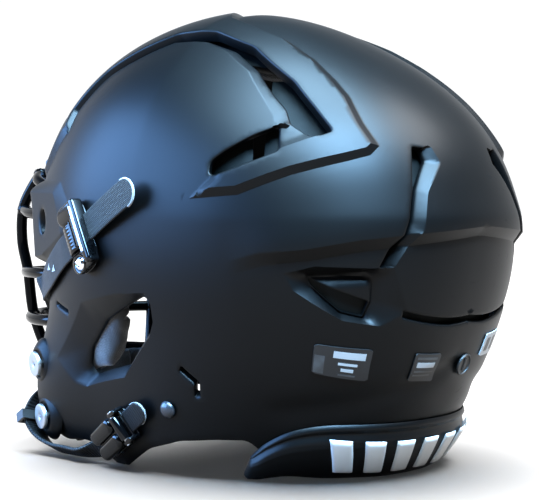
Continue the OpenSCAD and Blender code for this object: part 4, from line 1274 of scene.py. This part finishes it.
def phillips(name, matrix, r, low, high):
    """Domed screw head with a cross recess, and its shank."""
    verts, faces = [], []
    sides, rings = 64, 14
    verts.append((high, 0, 0))
    for i in range(1, rings + 1):
        q = r * i / rings
        for k in range(sides):
            a = 2 * math.pi * k / sides
            y, z = q * math.cos(a), q * math.sin(a)
            x = high - (high - low) * 0.8 * (q / r) ** 3
            cross = min(abs(y), abs(z))
            x -= 0.95 * soft((0.95 - cross) / 0.45) * soft((0.62 * r - q) / 0.5)
            verts.append((float(x), y, z))
    for k in range(sides):
        faces.append((0, 1 + k, 1 + (k + 1) % sides))
    for i in range(rings - 1):
        for k in range(sides):
            m = (k + 1) % sides
            a, b = 1 + i * sides, 1 + (i + 1) * sides
            faces.append((a + k, b + k, b + m, a + m))
    base = 1 + (rings - 1) * sides
    low_ring = len(verts)
    for k in range(sides):
        a = 2 * math.pi * k / sides
        verts.append((low, r * 0.98 * math.cos(a), r * 0.98 * math.sin(a)))
    for k in range(sides):
        m = (k + 1) % sides
        faces.append((base + k, low_ring + k, low_ring + m, base + m))
    faces.append(tuple(low_ring + k for k in range(sides)))
    ob = add_mesh(name, verts, faces, 35, 1)
    fix_normals(ob)
    shade(ob, 35)
    return place(ob, matrix)


def lying(matrix, x, y):
    """Frame at x, y whose X axis lies across the strap."""
    return matrix @ Matrix.Translation((x, y, 0)) @ Matrix.Rotation(math.radians(-90), 4, "Y")


def build_buckle():
    m = BUCKLE
    parts = [
        prism("base", stadium(0, -0.5, 11.8, 21, 9.5, 8), 0.5, 1.7, m, 0.35),
        prism("rail", stadium(9.3, -0.5, 2.6, 19.6, 2.5, 6), 1.2, 8.8, m, 2.0, 5),
        prism("head", stadium(0.4, 14.6, 11.2, 5.7, 5.6, 8), 1.2, 7.0, m, 1.8, 5),
        prism("foot", stadium(0.4, -14.9, 11.2, 5.9, 5.8, 8), 1.2, 5.5, m, 1.4, 4),
        prism("arm", stadium(10.3, -15.0, 1.6, 5.4, 1.5, 5), 1.2, 7.4, m, 0.7, 4),
    ]
    cup = lathe("cup", [(4.2, 5.3), (4.5, 6.0), (5.2, 6.2), (5.6, 5.8), (5.8, 4.8), (5.2, 4.6), (4.2, 5.3)],
                SCREW, 40)
    frame_part = paint(joined("frame", *parts, cup), GLOSS)
    knurl = [(0.62 + 0.14 * (k % 2), -13.5 + 0.45 * k) for k in range(64)]
    cord_line = paint(lathe("knurl", [(0, -13.6)] + knurl + [(0, 15)],
                            lying(m, 9.1, 8.6), 16), PIN)
    ob = shaded(joined("buckle_shape", frame_part, cord_line), 40)
    done_pair(ob, "buckle", "helmet", "buckle_plastic")
    plate = curved_plate(m)
    barrel = lathe("barrel", [(0, -8.5), (2.3, -8.5), (2.65, -8.1), (2.65, 8.1), (2.3, 8.5), (0, 8.5)],
                   lying(m, 6.8, 6.5), 32)
    ribs = [prism("rib", stadium(3.0 + 1.9 * k, 0, 0.42, 7.9, 0.4, 4), 6.6, 8.9 - 0.25 * k, m, 0.2, 2)
            for k in range(3)]
    ob = paint(shaded(joined("buckle_cam_shape", plate, barrel, *ribs), 40), GLOSS)
    done_pair(ob, "buckle_cam", "buckle_cam", "buckle_plastic")
    screw = paint(phillips("buckle_screws_shape", SCREW, 4.1, 4.6, 7.6), CHROME)
    done_both(screw, "buckle_screws_shape", "screw_metal", "buckle_screws")


def curved_plate(matrix):
    """Cam plate, bowed along the webbing, with a toothed front edge."""
    rows_low, rows_high = [], []
    for i in range(49):
        z = -8.5 + 17 * i / 48
        tooth = 0.25 * (1 if (i // 3) % 2 else 0)
        ends = 1 - soft((abs(z) - 7.4) / 1.1) * 0.12
        low, high = [], []
        for j in range(15):
            s = j / 14
            y = -9 + tooth * (1 - s) + (14.4 - tooth * (1 - s)) * s
            bow = 1.9 * math.sin(math.pi * min(1, s * 1.1)) * ends
            relief = 0.22 * (1 - s) ** 2 * (1 if (i // 3) % 2 else -0.2)
            thin = 1 - 0.75 * soft((0.10 - s) / 0.1)
            low.append(local(matrix, 4.7, y, z))
            high.append(local(matrix, 4.7 + (1.3 + bow + relief) * thin * ends, y, z))
        rows_low.append(low)
        rows_high.append(high)
    return sheet_solid("plate", rows_low, rows_high, 35)


def build_ratchet():
    m = RATCHET
    parts = [prism("base", stadium(0, 0, 16, 10.4, 3.5, 6), 0.5, 1.7, m, 0.4),
             prism("cheek_a", stadium(11.9, 9.1, 4.2, 1.35, 1.3, 5), 1.2, 8.6, m, 0.6, 4),
             prism("cheek_b", stadium(11.9, -9.1, 4.2, 1.35, 1.3, 5), 1.2, 8.6, m, 0.6, 4),
             prism("wall_a", stadium(0, 9.2, 14, 1.0, 0.9, 5), 1.2, 3.9, m, 0.4, 3),
             prism("wall_b", stadium(0, -9.2, 14, 1.0, 0.9, 5), 1.2, 3.9, m, 0.4, 3),
             prism("end", stadium(14.2, 0, 1.2, 9.4, 1.1, 5), 1.2, 5.0, m, 0.5, 3)]
    ob = paint(shaded(joined("ratchet_body_shape", *parts), 40), GLOSS)
    done_pair(ob, "ratchet_body", "helmet", "buckle_plastic")
    lobes = [prism("lobe", stadium(-5.6, z, 12.8, 4.75, 4.4, 8), 4.5, 10.6, m, 2.7, 6) for z in (4.95, -4.95)]
    web = prism("web", stadium(-4, 0, 11.5, 2.4, 1.2, 4), 4.5, 8.0, m, 0.5, 3)
    axle = lathe("axle", [(1.65, -7.2), (2.7, -7.2), (2.85, -6.8), (2.85, 6.8), (2.7, 7.2), (1.65, 7.2),
                          (1.65, -7.2)],
                 lying(m, 7, 10), 32)
    ob = paint(shaded(joined("ratchet_lever_shape", *lobes, web, axle), 40), GLOSS)
    done_pair(ob, "ratchet_lever", "ratchet_lever", "buckle_plastic")


def build_rivet():
    m = seat((5, -45.5), (3, 13))
    profile = [(0, 3.9), (1.2, 3.85), (2.4, 3.6), (3.4, 3.1), (4.3, 2.3), (4.9, 1.4), (5.05, 0.9), (4.9, 0.5),
               (0, 0.4)]
    ob = paint(lathe("rivet", profile, m, 48, 60), RIVET)
    done_both(ob, "strap_rivets_shape", "rivet_enamel", "strap_rivets")


# ------------------------------------------------------------- chin cup ----
def build_chin_cup():
    def grid(off, reach, n=40, m=28):
        rows = []
        for i in range(n + 1):
            s = reach * (2 * i / n - 1)
            row = []
            for j in range(m + 1):
                t = reach * (2 * j / m - 1) * (1 - 0.35 * s * s)
                row.append(cup_point(s, t, off(i / n, j / m)))
            rows.append(row)
        return rows

    def rim(a, b, size):
        e = min(a, 1 - a, b, 1 - b)
        return math.sqrt(max(0.0, 1 - (1 - min(e / size, 1)) ** 2))

    def outer(a, b):
        rib = 0.7 * math.exp(-((b - 0.5) / 0.06) ** 2) * float(soft((0.42 - abs(a - 0.5)) / 0.1))
        return 0.6 + 2.4 * rim(a, b, 0.06) + rib

    def inner(a, b):
        quilt = 0.8 * math.exp(-((a - 0.5) / 0.012) ** 2) + 0.7 * math.exp(-((b - 0.5) / 0.016) ** 2)
        return -0.5 - 8.3 * rim(a, b, 0.22) + quilt * 1.4

    ob = paint(sheet_solid("chin_cup_shape", grid(lambda a, b: 0.0, 1), grid(outer, 1), 50), GLOSS)
    done(ob, "helmet", "cup_plastic", "chin_cup")
    ob = paint(sheet_solid("chin_pad_shape", grid(inner, 0.87, 60, 44),
                           grid(lambda a, b: -0.45, 0.87, 60, 44), 70), CUP_PAD)
    done(ob, "helmet", "cup_foam", "chin_pad")


# ----------------------------------------------------------- soft goods ----
PAD_VOXEL = 4.5             # size of the pads' mesh before they swell
SWELL_FRAMES = 14


def swollen(ob, pressure, cap):
    """Cloth simulation that swells a padded piece; no point moves further than cap."""
    m = ob.modifiers.new("remesh", "REMESH")
    m.mode = "VOXEL"
    m.voxel_size = PAD_VOXEL * MM
    apply_modifiers(ob)
    start = np.array([v.co[:] for v in ob.data.vertices])
    m = ob.modifiers.new("cloth", "CLOTH")
    cl = m.settings
    cl.use_pressure = True
    cl.uniform_pressure_force = pressure
    cl.effector_weights.gravity = 0
    cl.quality = 4
    cl.tension_stiffness = 12
    cl.compression_stiffness = 12
    cl.bending_stiffness = 0.6
    cl.mass = 0.3
    sc = bpy.context.scene
    for f in range(1, SWELL_FRAMES + 1):
        sc.frame_set(f)
    apply_modifiers(ob)
    now = np.array([v.co[:] for v in ob.data.vertices])
    move = now - start
    size = np.linalg.norm(move, axis=1, keepdims=True)
    now = start + move * np.minimum(1, cap * MM / np.maximum(size, 1e-9))
    ob.data.vertices.foreach_set("co", now.ravel())
    sc.frame_set(1)
    m = ob.modifiers.new("smooth", "SUBSURF")
    m.levels = 1
    m.render_levels = 1
    apply_modifiers(ob)
    return ob


def pad(name, way, unway, left, right, low, top, seams, along=14, across=26, round_edge=0.10):
    """Crowned cloth-covered pad with sewn channels on its inner face."""
    mid = (low + top) / 2
    t = np.linspace(0, 1, across + 1)
    a, b = smooth_path(left, along), smooth_path(right, along)
    rows_low, rows_high = [], []
    n = len(a)
    for i in range(n):
        s = i / (n - 1)
        d = way(a[i] + (b[i] - a[i]) * t[:, None])
        e = np.minimum(np.minimum(t, 1 - t), min(s, 1 - s))
        k = np.sqrt(lim(1 - (1 - lim(e / round_edge)) ** 2))
        rows_low.append(place_rows(within, d, mid + (low + 1.6 - mid) * (0.12 + 0.88 * k)))
        rows_high.append(place_rows(within, d, mid + (top - 1.0 - mid) * (0.12 + 0.88 * k)))
    ob = sheet_solid(name, rows_low, rows_high, 60)
    swollen(ob, 4.0, 2.2)
    co = np.array([v.co[:] for v in ob.data.vertices]) / MM
    rel = co - CENTRE
    radius = np.linalg.norm(rel, axis=1)
    d = rel / radius[:, None]
    p = unway(d)
    form = lining_form(d)
    off = (radius - form) / slant(d)
    inner = off < mid
    groove = np.zeros(len(co))
    for line in seams:
        g = line_distance(p, line) * DEG_MM
        groove = np.maximum(groove, 3.4 * np.exp(-(g / 1.7) ** 2))
    off = off + np.where(inner, groove, 0)
    off = np.clip(off, low, top)
    co = CENTRE + (form + off * slant(d))[:, None] * d
    ob.data.vertices.foreach_set("co", (co * MM).ravel())
    ob.data.update()
    return paint(shaded(ob, 70), PAD)


def globe_place_back(d):
    """Bearing from straight back, -180 to 180, and height in degrees."""
    return np.degrees(np.stack([np.arctan2(d[:, 0], d[:, 1]), np.arcsin(lim(d[:, 2], -1, 1))], 1))


def globe_place(d):
    """The same with the bearing 0 to 360, for pieces at the front."""
    p = globe_place_back(d)
    p[:, 0] %= 360
    return p


def top_place(d):
    return np.degrees(np.stack([np.arctan2(d[:, 0], d[:, 2]), np.arctan2(d[:, 1], d[:, 2])], 1))


PADS = {
    "front_pad": ((globe_way, globe_place, [[147, 17], [149.5, 29], [152.5, 41]],
                   [[213, 17], [210.5, 29], [207.5, 41]], -27.5, -11.5,
                   [[[168, 10], [170, 50]], [[192, 10], [190, 50]], [[140, 29], [220, 29]]]), {}),
    "crown_pad": ((top_way, top_place, [[-25, -23], [-27, 0], [-25, 23]], [[25, -23], [27, 0], [25, 23]],
                   -31.5, -19.5, [[[-30, -8], [30, -8]], [[-30, 8], [30, 8]], [[0, -30], [0, 30]]]), {}),
    "rear_pad": ((globe_way, globe_place_back, [[-41, 31], [-43, 8], [-39, -19]],
                  [[41, 31], [43, 8], [39, -19]], -31.5, -19.5,
                  [[[-45, 14], [45, 14]], [[-45, -4], [45, -4]], [[-15, -22], [-16, 34]],
                   [[15, -22], [16, 34]]]), {"along": 16, "across": 34}),
    "nape_pad": ((globe_way, globe_place_back, [[-37, -36.8], [-36, -43], [-35, -49]],
                  [[37, -36.8], [36, -43], [35, -49]], -25.5, -8,
                  [[[-12, -34], [-12, -52]], [[12, -34], [12, -52]]]), {"along": 12, "across": 34}),
    "side_pad": ((side_way, side_place, [[-29, -3], [-25.5, 16], [-17.5, 31]],
                  [[23, -5], [25, 14], [19.4, 29]], -31.5, -19.5,
                  [[[-35, 9], [35, 8]], [[-8, -8], [-4, 36]], [[12, -8], [12, 36]]]), {}),
    "jaw_pad": ((side_way, side_place, [[-35.4, -17.6], [-34.6, -30], [-30.6, -41.4]],
                 [[-15.8, -18.6], [-12.3, -28], [-19.4, -41.4]], -19.5, -5.6,
                 [[[-40, -29.5], [-8, -29.5]], [[-24, -14], [-25, -44]]]),
                {"along": 12, "across": 16, "round_edge": 0.14}),
}


def build_pads():
    """The four middle pads, then the pairs at the sides and the jaws."""
    for name, (shape, counts) in PADS.items():
        ob = pad(name + "_shape", *shape, **counts)
        if shape[0] is side_way:
            pieces = done_pair(ob, name, "helmet", "pad_fabric")
        else:
            pieces = [done(ob, "helmet", "pad_fabric", name)]


def liner(name, way, left, right, cells, along=16, across=44):
    """Moulded foam liner with a grid of raised cells on its inner face."""
    t = np.linspace(0, 1, across + 1)
    a, b = smooth_path(left, along), smooth_path(right, along)
    low, high = [], []
    n = len(a)
    for i in range(n):
        s = i / (n - 1)
        d = way(a[i] + (b[i] - a[i]) * t[:, None])
        e = np.minimum(np.minimum(t, 1 - t), min(s, 1 - s))
        k = np.sqrt(lim(1 - (1 - lim(e / 0.05)) ** 2))
        cell = np.abs(np.sin(math.pi * t * cells[0]) * math.sin(math.pi * s * cells[1]))
        groove = 1 - lim(cell * 6)
        low.append(place_rows(within, d, -10 - 6.8 * (0.25 + 0.75 * k) + 3.0 * groove * k))
        high.append(place_rows(within, d, -10 + 1.3 * k - 1.2 * groove * k))
    return paint(sheet_solid(name, low, high, 50), LINER_SHADE_DARKENED)


def build_liners():
    ob = liner("liner_crown_shape", top_way, [[-34, -30], [-38, 0], [-34, 30]],
               [[34, -30], [38, 0], [34, 30]], (6, 5))
    done(ob, "helmet", "liner_foam", "liner_crown")
    ob = liner("liner_rear_shape", globe_way, [[-50, 42], [-52, 10], [-48, -26]],
               [[50, 42], [52, 10], [48, -26]], (9, 6), 20, 60)
    done(ob, "helmet", "liner_foam", "liner_rear")
    ob = liner("liner_side", side_way, [[-36, -8], [-34, 20], [-22, 42]],
               [[32, -12], [34, 16], [28, 40]], (6, 5))
    done_pair(ob, "liner", "helmet", "liner_foam")


# ---------------------------------------------------- valve and labels ----
VALVE_PLACE, VALVE_TILT = (-4, -32), 20    # bearing and height, tilt down, in degrees


def build_valve():
    d = globe_way(VALVE_PLACE)
    m = (Matrix.Translation(Vector(at(d, 0)[0]) * MM)
         @ Matrix.Rotation(math.radians(90 - VALVE_PLACE[0]), 4, "Z")
         @ Matrix.Rotation(math.radians(VALVE_TILT), 4, "Y") @ Matrix.Scale(MM, 4)
         @ Matrix.Translation((0.5, 0, 0)))
    ring_shape = lathe("ring", [(0, -4.8), (3.4, -4.8), (3.5, 0.2), (6.2, 0.45), (6.45, 0.8), (6.4, 1.5),
                                (6.0, 1.95), (5.5, 1.9), (5.2, 1.3), (4.6, 1.05), (2.0, 1.15), (0, 1.2)], m)
    lips = [prism("lip", stadium(y, 0, 0.32, 3.6, 0.3, 5), 0.8, 1.65, m, 0.15, 2) for y in (-0.55, 0.55)]
    slit = prism("slit", stadium(0, 0, 0.22, 3.4, 0.2, 5), 0.8, 1.3, m, 0.05, 1)
    ob = paint(shaded(joined("air_valve_shape", ring_shape, *lips, slit), 40), RUBBER)
    done(ob, "helmet", "valve_rubber", "air_valve")


FILM = 0.95                 # how far the labels stand off the shell


def label(node, corners, mat, spots, slot, flipped=False):
    """Thin film with rounded corners and plain raised fields."""
    (a, b), (c, d) = corners
    a, b, c, d = (np.array(q, float) for q in (a, b, c, d))

    def film(s0, s1, t0, t1, low, high, corner):
        rows_low, rows_high = [], []
        n = 18
        for i in range(n + 1):
            s = s0 + (s1 - s0) * i / n
            cut = corner * (1 - math.sqrt(max(0, 1 - (1 - min(min(i, n - i) / n / 0.08, 1)) ** 2)))
            t = np.linspace(t0 + cut, t1 - cut, 13)
            q = ((a * (1 - s) + b * s)[None] * (1 - t[:, None]) + (c * (1 - s) + d * s)[None] * t[:, None])
            w = side_way(q)
            rows_low.append(place_rows(at, w, low))
            rows_high.append(place_rows(at, w, high))
        return sheet_solid("film", rows_low, rows_high, 40)

    parts = [paint(film(0, 1, 0, 1, 0.3, FILM, 0.05), mat)]
    for s0, s1, t0, t1, m in spots:
        parts.append(paint(film(s0, s1, t0, t1, FILM - 0.05, FILM + 0.07, 0.0), m))
    ob = joined(node + "_shape", *parts)
    if flipped:
        place(ob, MIRROR)
    shade(ob, 40)
    done(ob, "helmet", slot, node)


def build_labels():
    label("size_label", (([46, -30.5], [58, -33.5]), ([43.5, -37.5], [54.5, -41.5])), LABEL,
          [(0.02, 0.2, 0.35, 0.95, LABEL_PATCH), (0.34, 0.9, 0.14, 0.36, LABEL_WHITE),
           (0.44, 0.78, 0.50, 0.58, LABEL_WHITE), (0.5, 0.72, 0.68, 0.78, LABEL_WHITE),
           (0.46, 0.76, 0.87, 0.92, LABEL_PATCH)], "label_grey")
    label("season_label", (([67.3, -37.4], [73.6, -40.4]), ([63.2, -45], [69, -48.6])), LABEL,
          [(0.1, 0.88, 0.12, 0.2, LABEL_PATCH), (0.14, 0.84, 0.3, 0.48, LABEL_WHITE),
           (0.1, 0.88, 0.6, 0.66, LABEL_PATCH), (0.1, 0.8, 0.74, 0.8, LABEL_PATCH)], "label_grey")
    label("approval_sticker", (([64, -32], [72, -35]), ([62, -38.5], [69.5, -41.5])), LABEL_WHITE,
          [(0.16, 0.42, 0.2, 0.8, LABEL), (0.58, 0.84, 0.2, 0.8, LABEL)], "label_white", flipped=True)


build_facemask()
build_bumpers()
build_release_heads()
build_upper_strap()
build_lower_strap()
build_buckle()
build_ratchet()
build_rivet()
build_chin_cup()
build_liners()
build_pads()
build_valve()
build_labels()
for side in SIDES:
    cad_node(f"forehead_clip_{side}", CLIP, 0.8)
    cad_node(f"jaw_clip_upper_{side}", CLIP, 0.5)
    cad_node(f"jaw_clip_lower_{side}", CLIP, 0.5)
cad_node("forehead_screws", CHROME, 0.3)
cad_node("forehead_nuts", CHROME, 0.2)
cad_node("ratchet_pins", PIN, 0.3)
cad_node("strap_guides", GUIDE, 0.7)


# --------------------------------------------------------------- stage ----
TARGET = Vector((0.0, 0.015, 0.14))
VIEW_FROM, VIEW_RISE = 131, 1       # bearing and height of the camera, in degrees
FLOOR_HALF = 9000


def way_to(azimuth, elevation):
    a, e = math.radians(azimuth), math.radians(elevation)
    return Vector((math.sin(a) * math.cos(e), -math.cos(a) * math.cos(e), math.sin(e)))


def soft_box(name, azimuth, elevation, far, wide, high, power, colour, lights):
    """Soft rectangle of light aimed at the helmet from a bearing and a height in degrees."""
    lamp = bpy.data.lights.new(name, "AREA")
    lamp.shape = "RECTANGLE"
    lamp.size = wide
    lamp.size_y = high
    lamp.energy = power
    lamp.color = colour
    ob = bpy.data.objects.new(name, lamp)
    bpy.context.scene.collection.objects.link(ob)
    way = way_to(azimuth, elevation)
    ob.location = TARGET + way * far
    ob.rotation_euler = way.to_track_quat("Z", "Y").to_euler()
    ob.light_linking.receiver_collection = lights
    return ob


def linked(name, ob, state):
    """Collection that tells a lamp to leave an object out, or to light only that object."""
    group = bpy.data.collections.new(name)
    group.objects.link(ob)
    group.collection_objects[0].light_linking.link_state = state
    return group


def build_world():
    """Pale all round, whitest behind the helmet, dim overhead."""
    world = bpy.data.worlds.new("studio")
    bpy.context.scene.world = world
    world.use_nodes = True
    nodes, link = world.node_tree.nodes, world.node_tree.links.new
    coords = nodes.new("ShaderNodeTexCoord")
    split = nodes.new("ShaderNodeSeparateXYZ")
    link(coords.outputs["Generated"], split.inputs[0])
    rise = node(nodes, "MapRange", {"From Min": 0.22, "From Max": 0.6, "To Min": 1.0, "To Max": 0.07},
                interpolation_type="SMOOTHSTEP")
    link(split.outputs["Z"], rise.inputs["Value"])
    facing = node(nodes, "VectorMath", {1: way_to(VIEW_FROM, 0)}, operation="DOT_PRODUCT")
    link(coords.outputs["Generated"], facing.inputs[0])
    dim = node(nodes, "MapRange", {"From Min": -0.75, "From Max": 0.5, "To Min": 1.08, "To Max": 0.12},
               interpolation_type="SMOOTHSTEP")
    link(facing.outputs["Value"], dim.inputs["Value"])
    both_ways = node(nodes, "Math", operation="MULTIPLY")
    link(rise.outputs["Result"], both_ways.inputs[0])
    link(dim.outputs["Result"], both_ways.inputs[1])
    back = nodes["Background"]
    back.inputs["Color"].default_value = (0.97, 0.985, 1.0, 1)
    link(both_ways.outputs["Value"], back.inputs["Strength"])


def build_stage():
    f = FLOOR_HALF
    floor = add_mesh("floor", [(-f, -f, 0), (f, -f, 0), (f, f, 0), (-f, f, 0)], [(0, 1, 2, 3)])
    paint(floor, shader("floor_paint", (0.88, 0.88, 0.88), 0.7, grain=30, mottle=0.01, mottle_size=3,
                        spec=0.2))
    floor.location.z = -0.0002
    spare = linked("not_lit_blue", floor, "EXCLUDE")
    build_world()
    soft_box("blue_side", 48, 20, 1.5, 1.7, 1.0, 150, (0.20, 0.46, 1.0), spare)
    over = soft_box("blue_over", 0, 90, 1.4, 1.5, 1.2, 370, (0.42, 0.72, 1.0), spare)
    over.rotation_euler = (0, 0, 0)
    over.location = (0.42, 0.42, 1.5)
    soft_box("blue_shoulder", 151, 51, 1.3, 0.6, 0.4, 135, (0.30, 0.62, 1.0), spare)
    soft_box("white_back", 222, 52, 1.6, 0.9, 0.6, 34, (0.97, 0.98, 1.0), spare)
    sun = bpy.data.lights.new("overhead", "SUN")
    sun.energy = 5.4
    sun.angle = math.radians(60)
    ob = bpy.data.objects.new("overhead", sun)
    bpy.context.scene.collection.objects.link(ob)
    ob.rotation_euler = way_to(311, 80).to_track_quat("Z", "Y").to_euler()
    ob.light_linking.receiver_collection = linked("floor_only", floor, "INCLUDE")


def build_camera():
    cam = bpy.data.cameras.new("camera")
    cam.sensor_width = 36
    cam.lens = 105.1
    ob = bpy.data.objects.new("camera", cam)
    bpy.context.scene.collection.objects.link(ob)
    ob.location = Vector((0.0, 0.015, 0.142)) + way_to(VIEW_FROM, VIEW_RISE) * 0.95
    ob.rotation_euler = (Vector((0.0024, 0.0122, 0.1233)) - ob.location).to_track_quat("-Z", "Y").to_euler()
    bpy.context.scene.camera = ob


build_stage()
build_camera()
bpy.context.scene.view_settings.view_transform = "Standard"
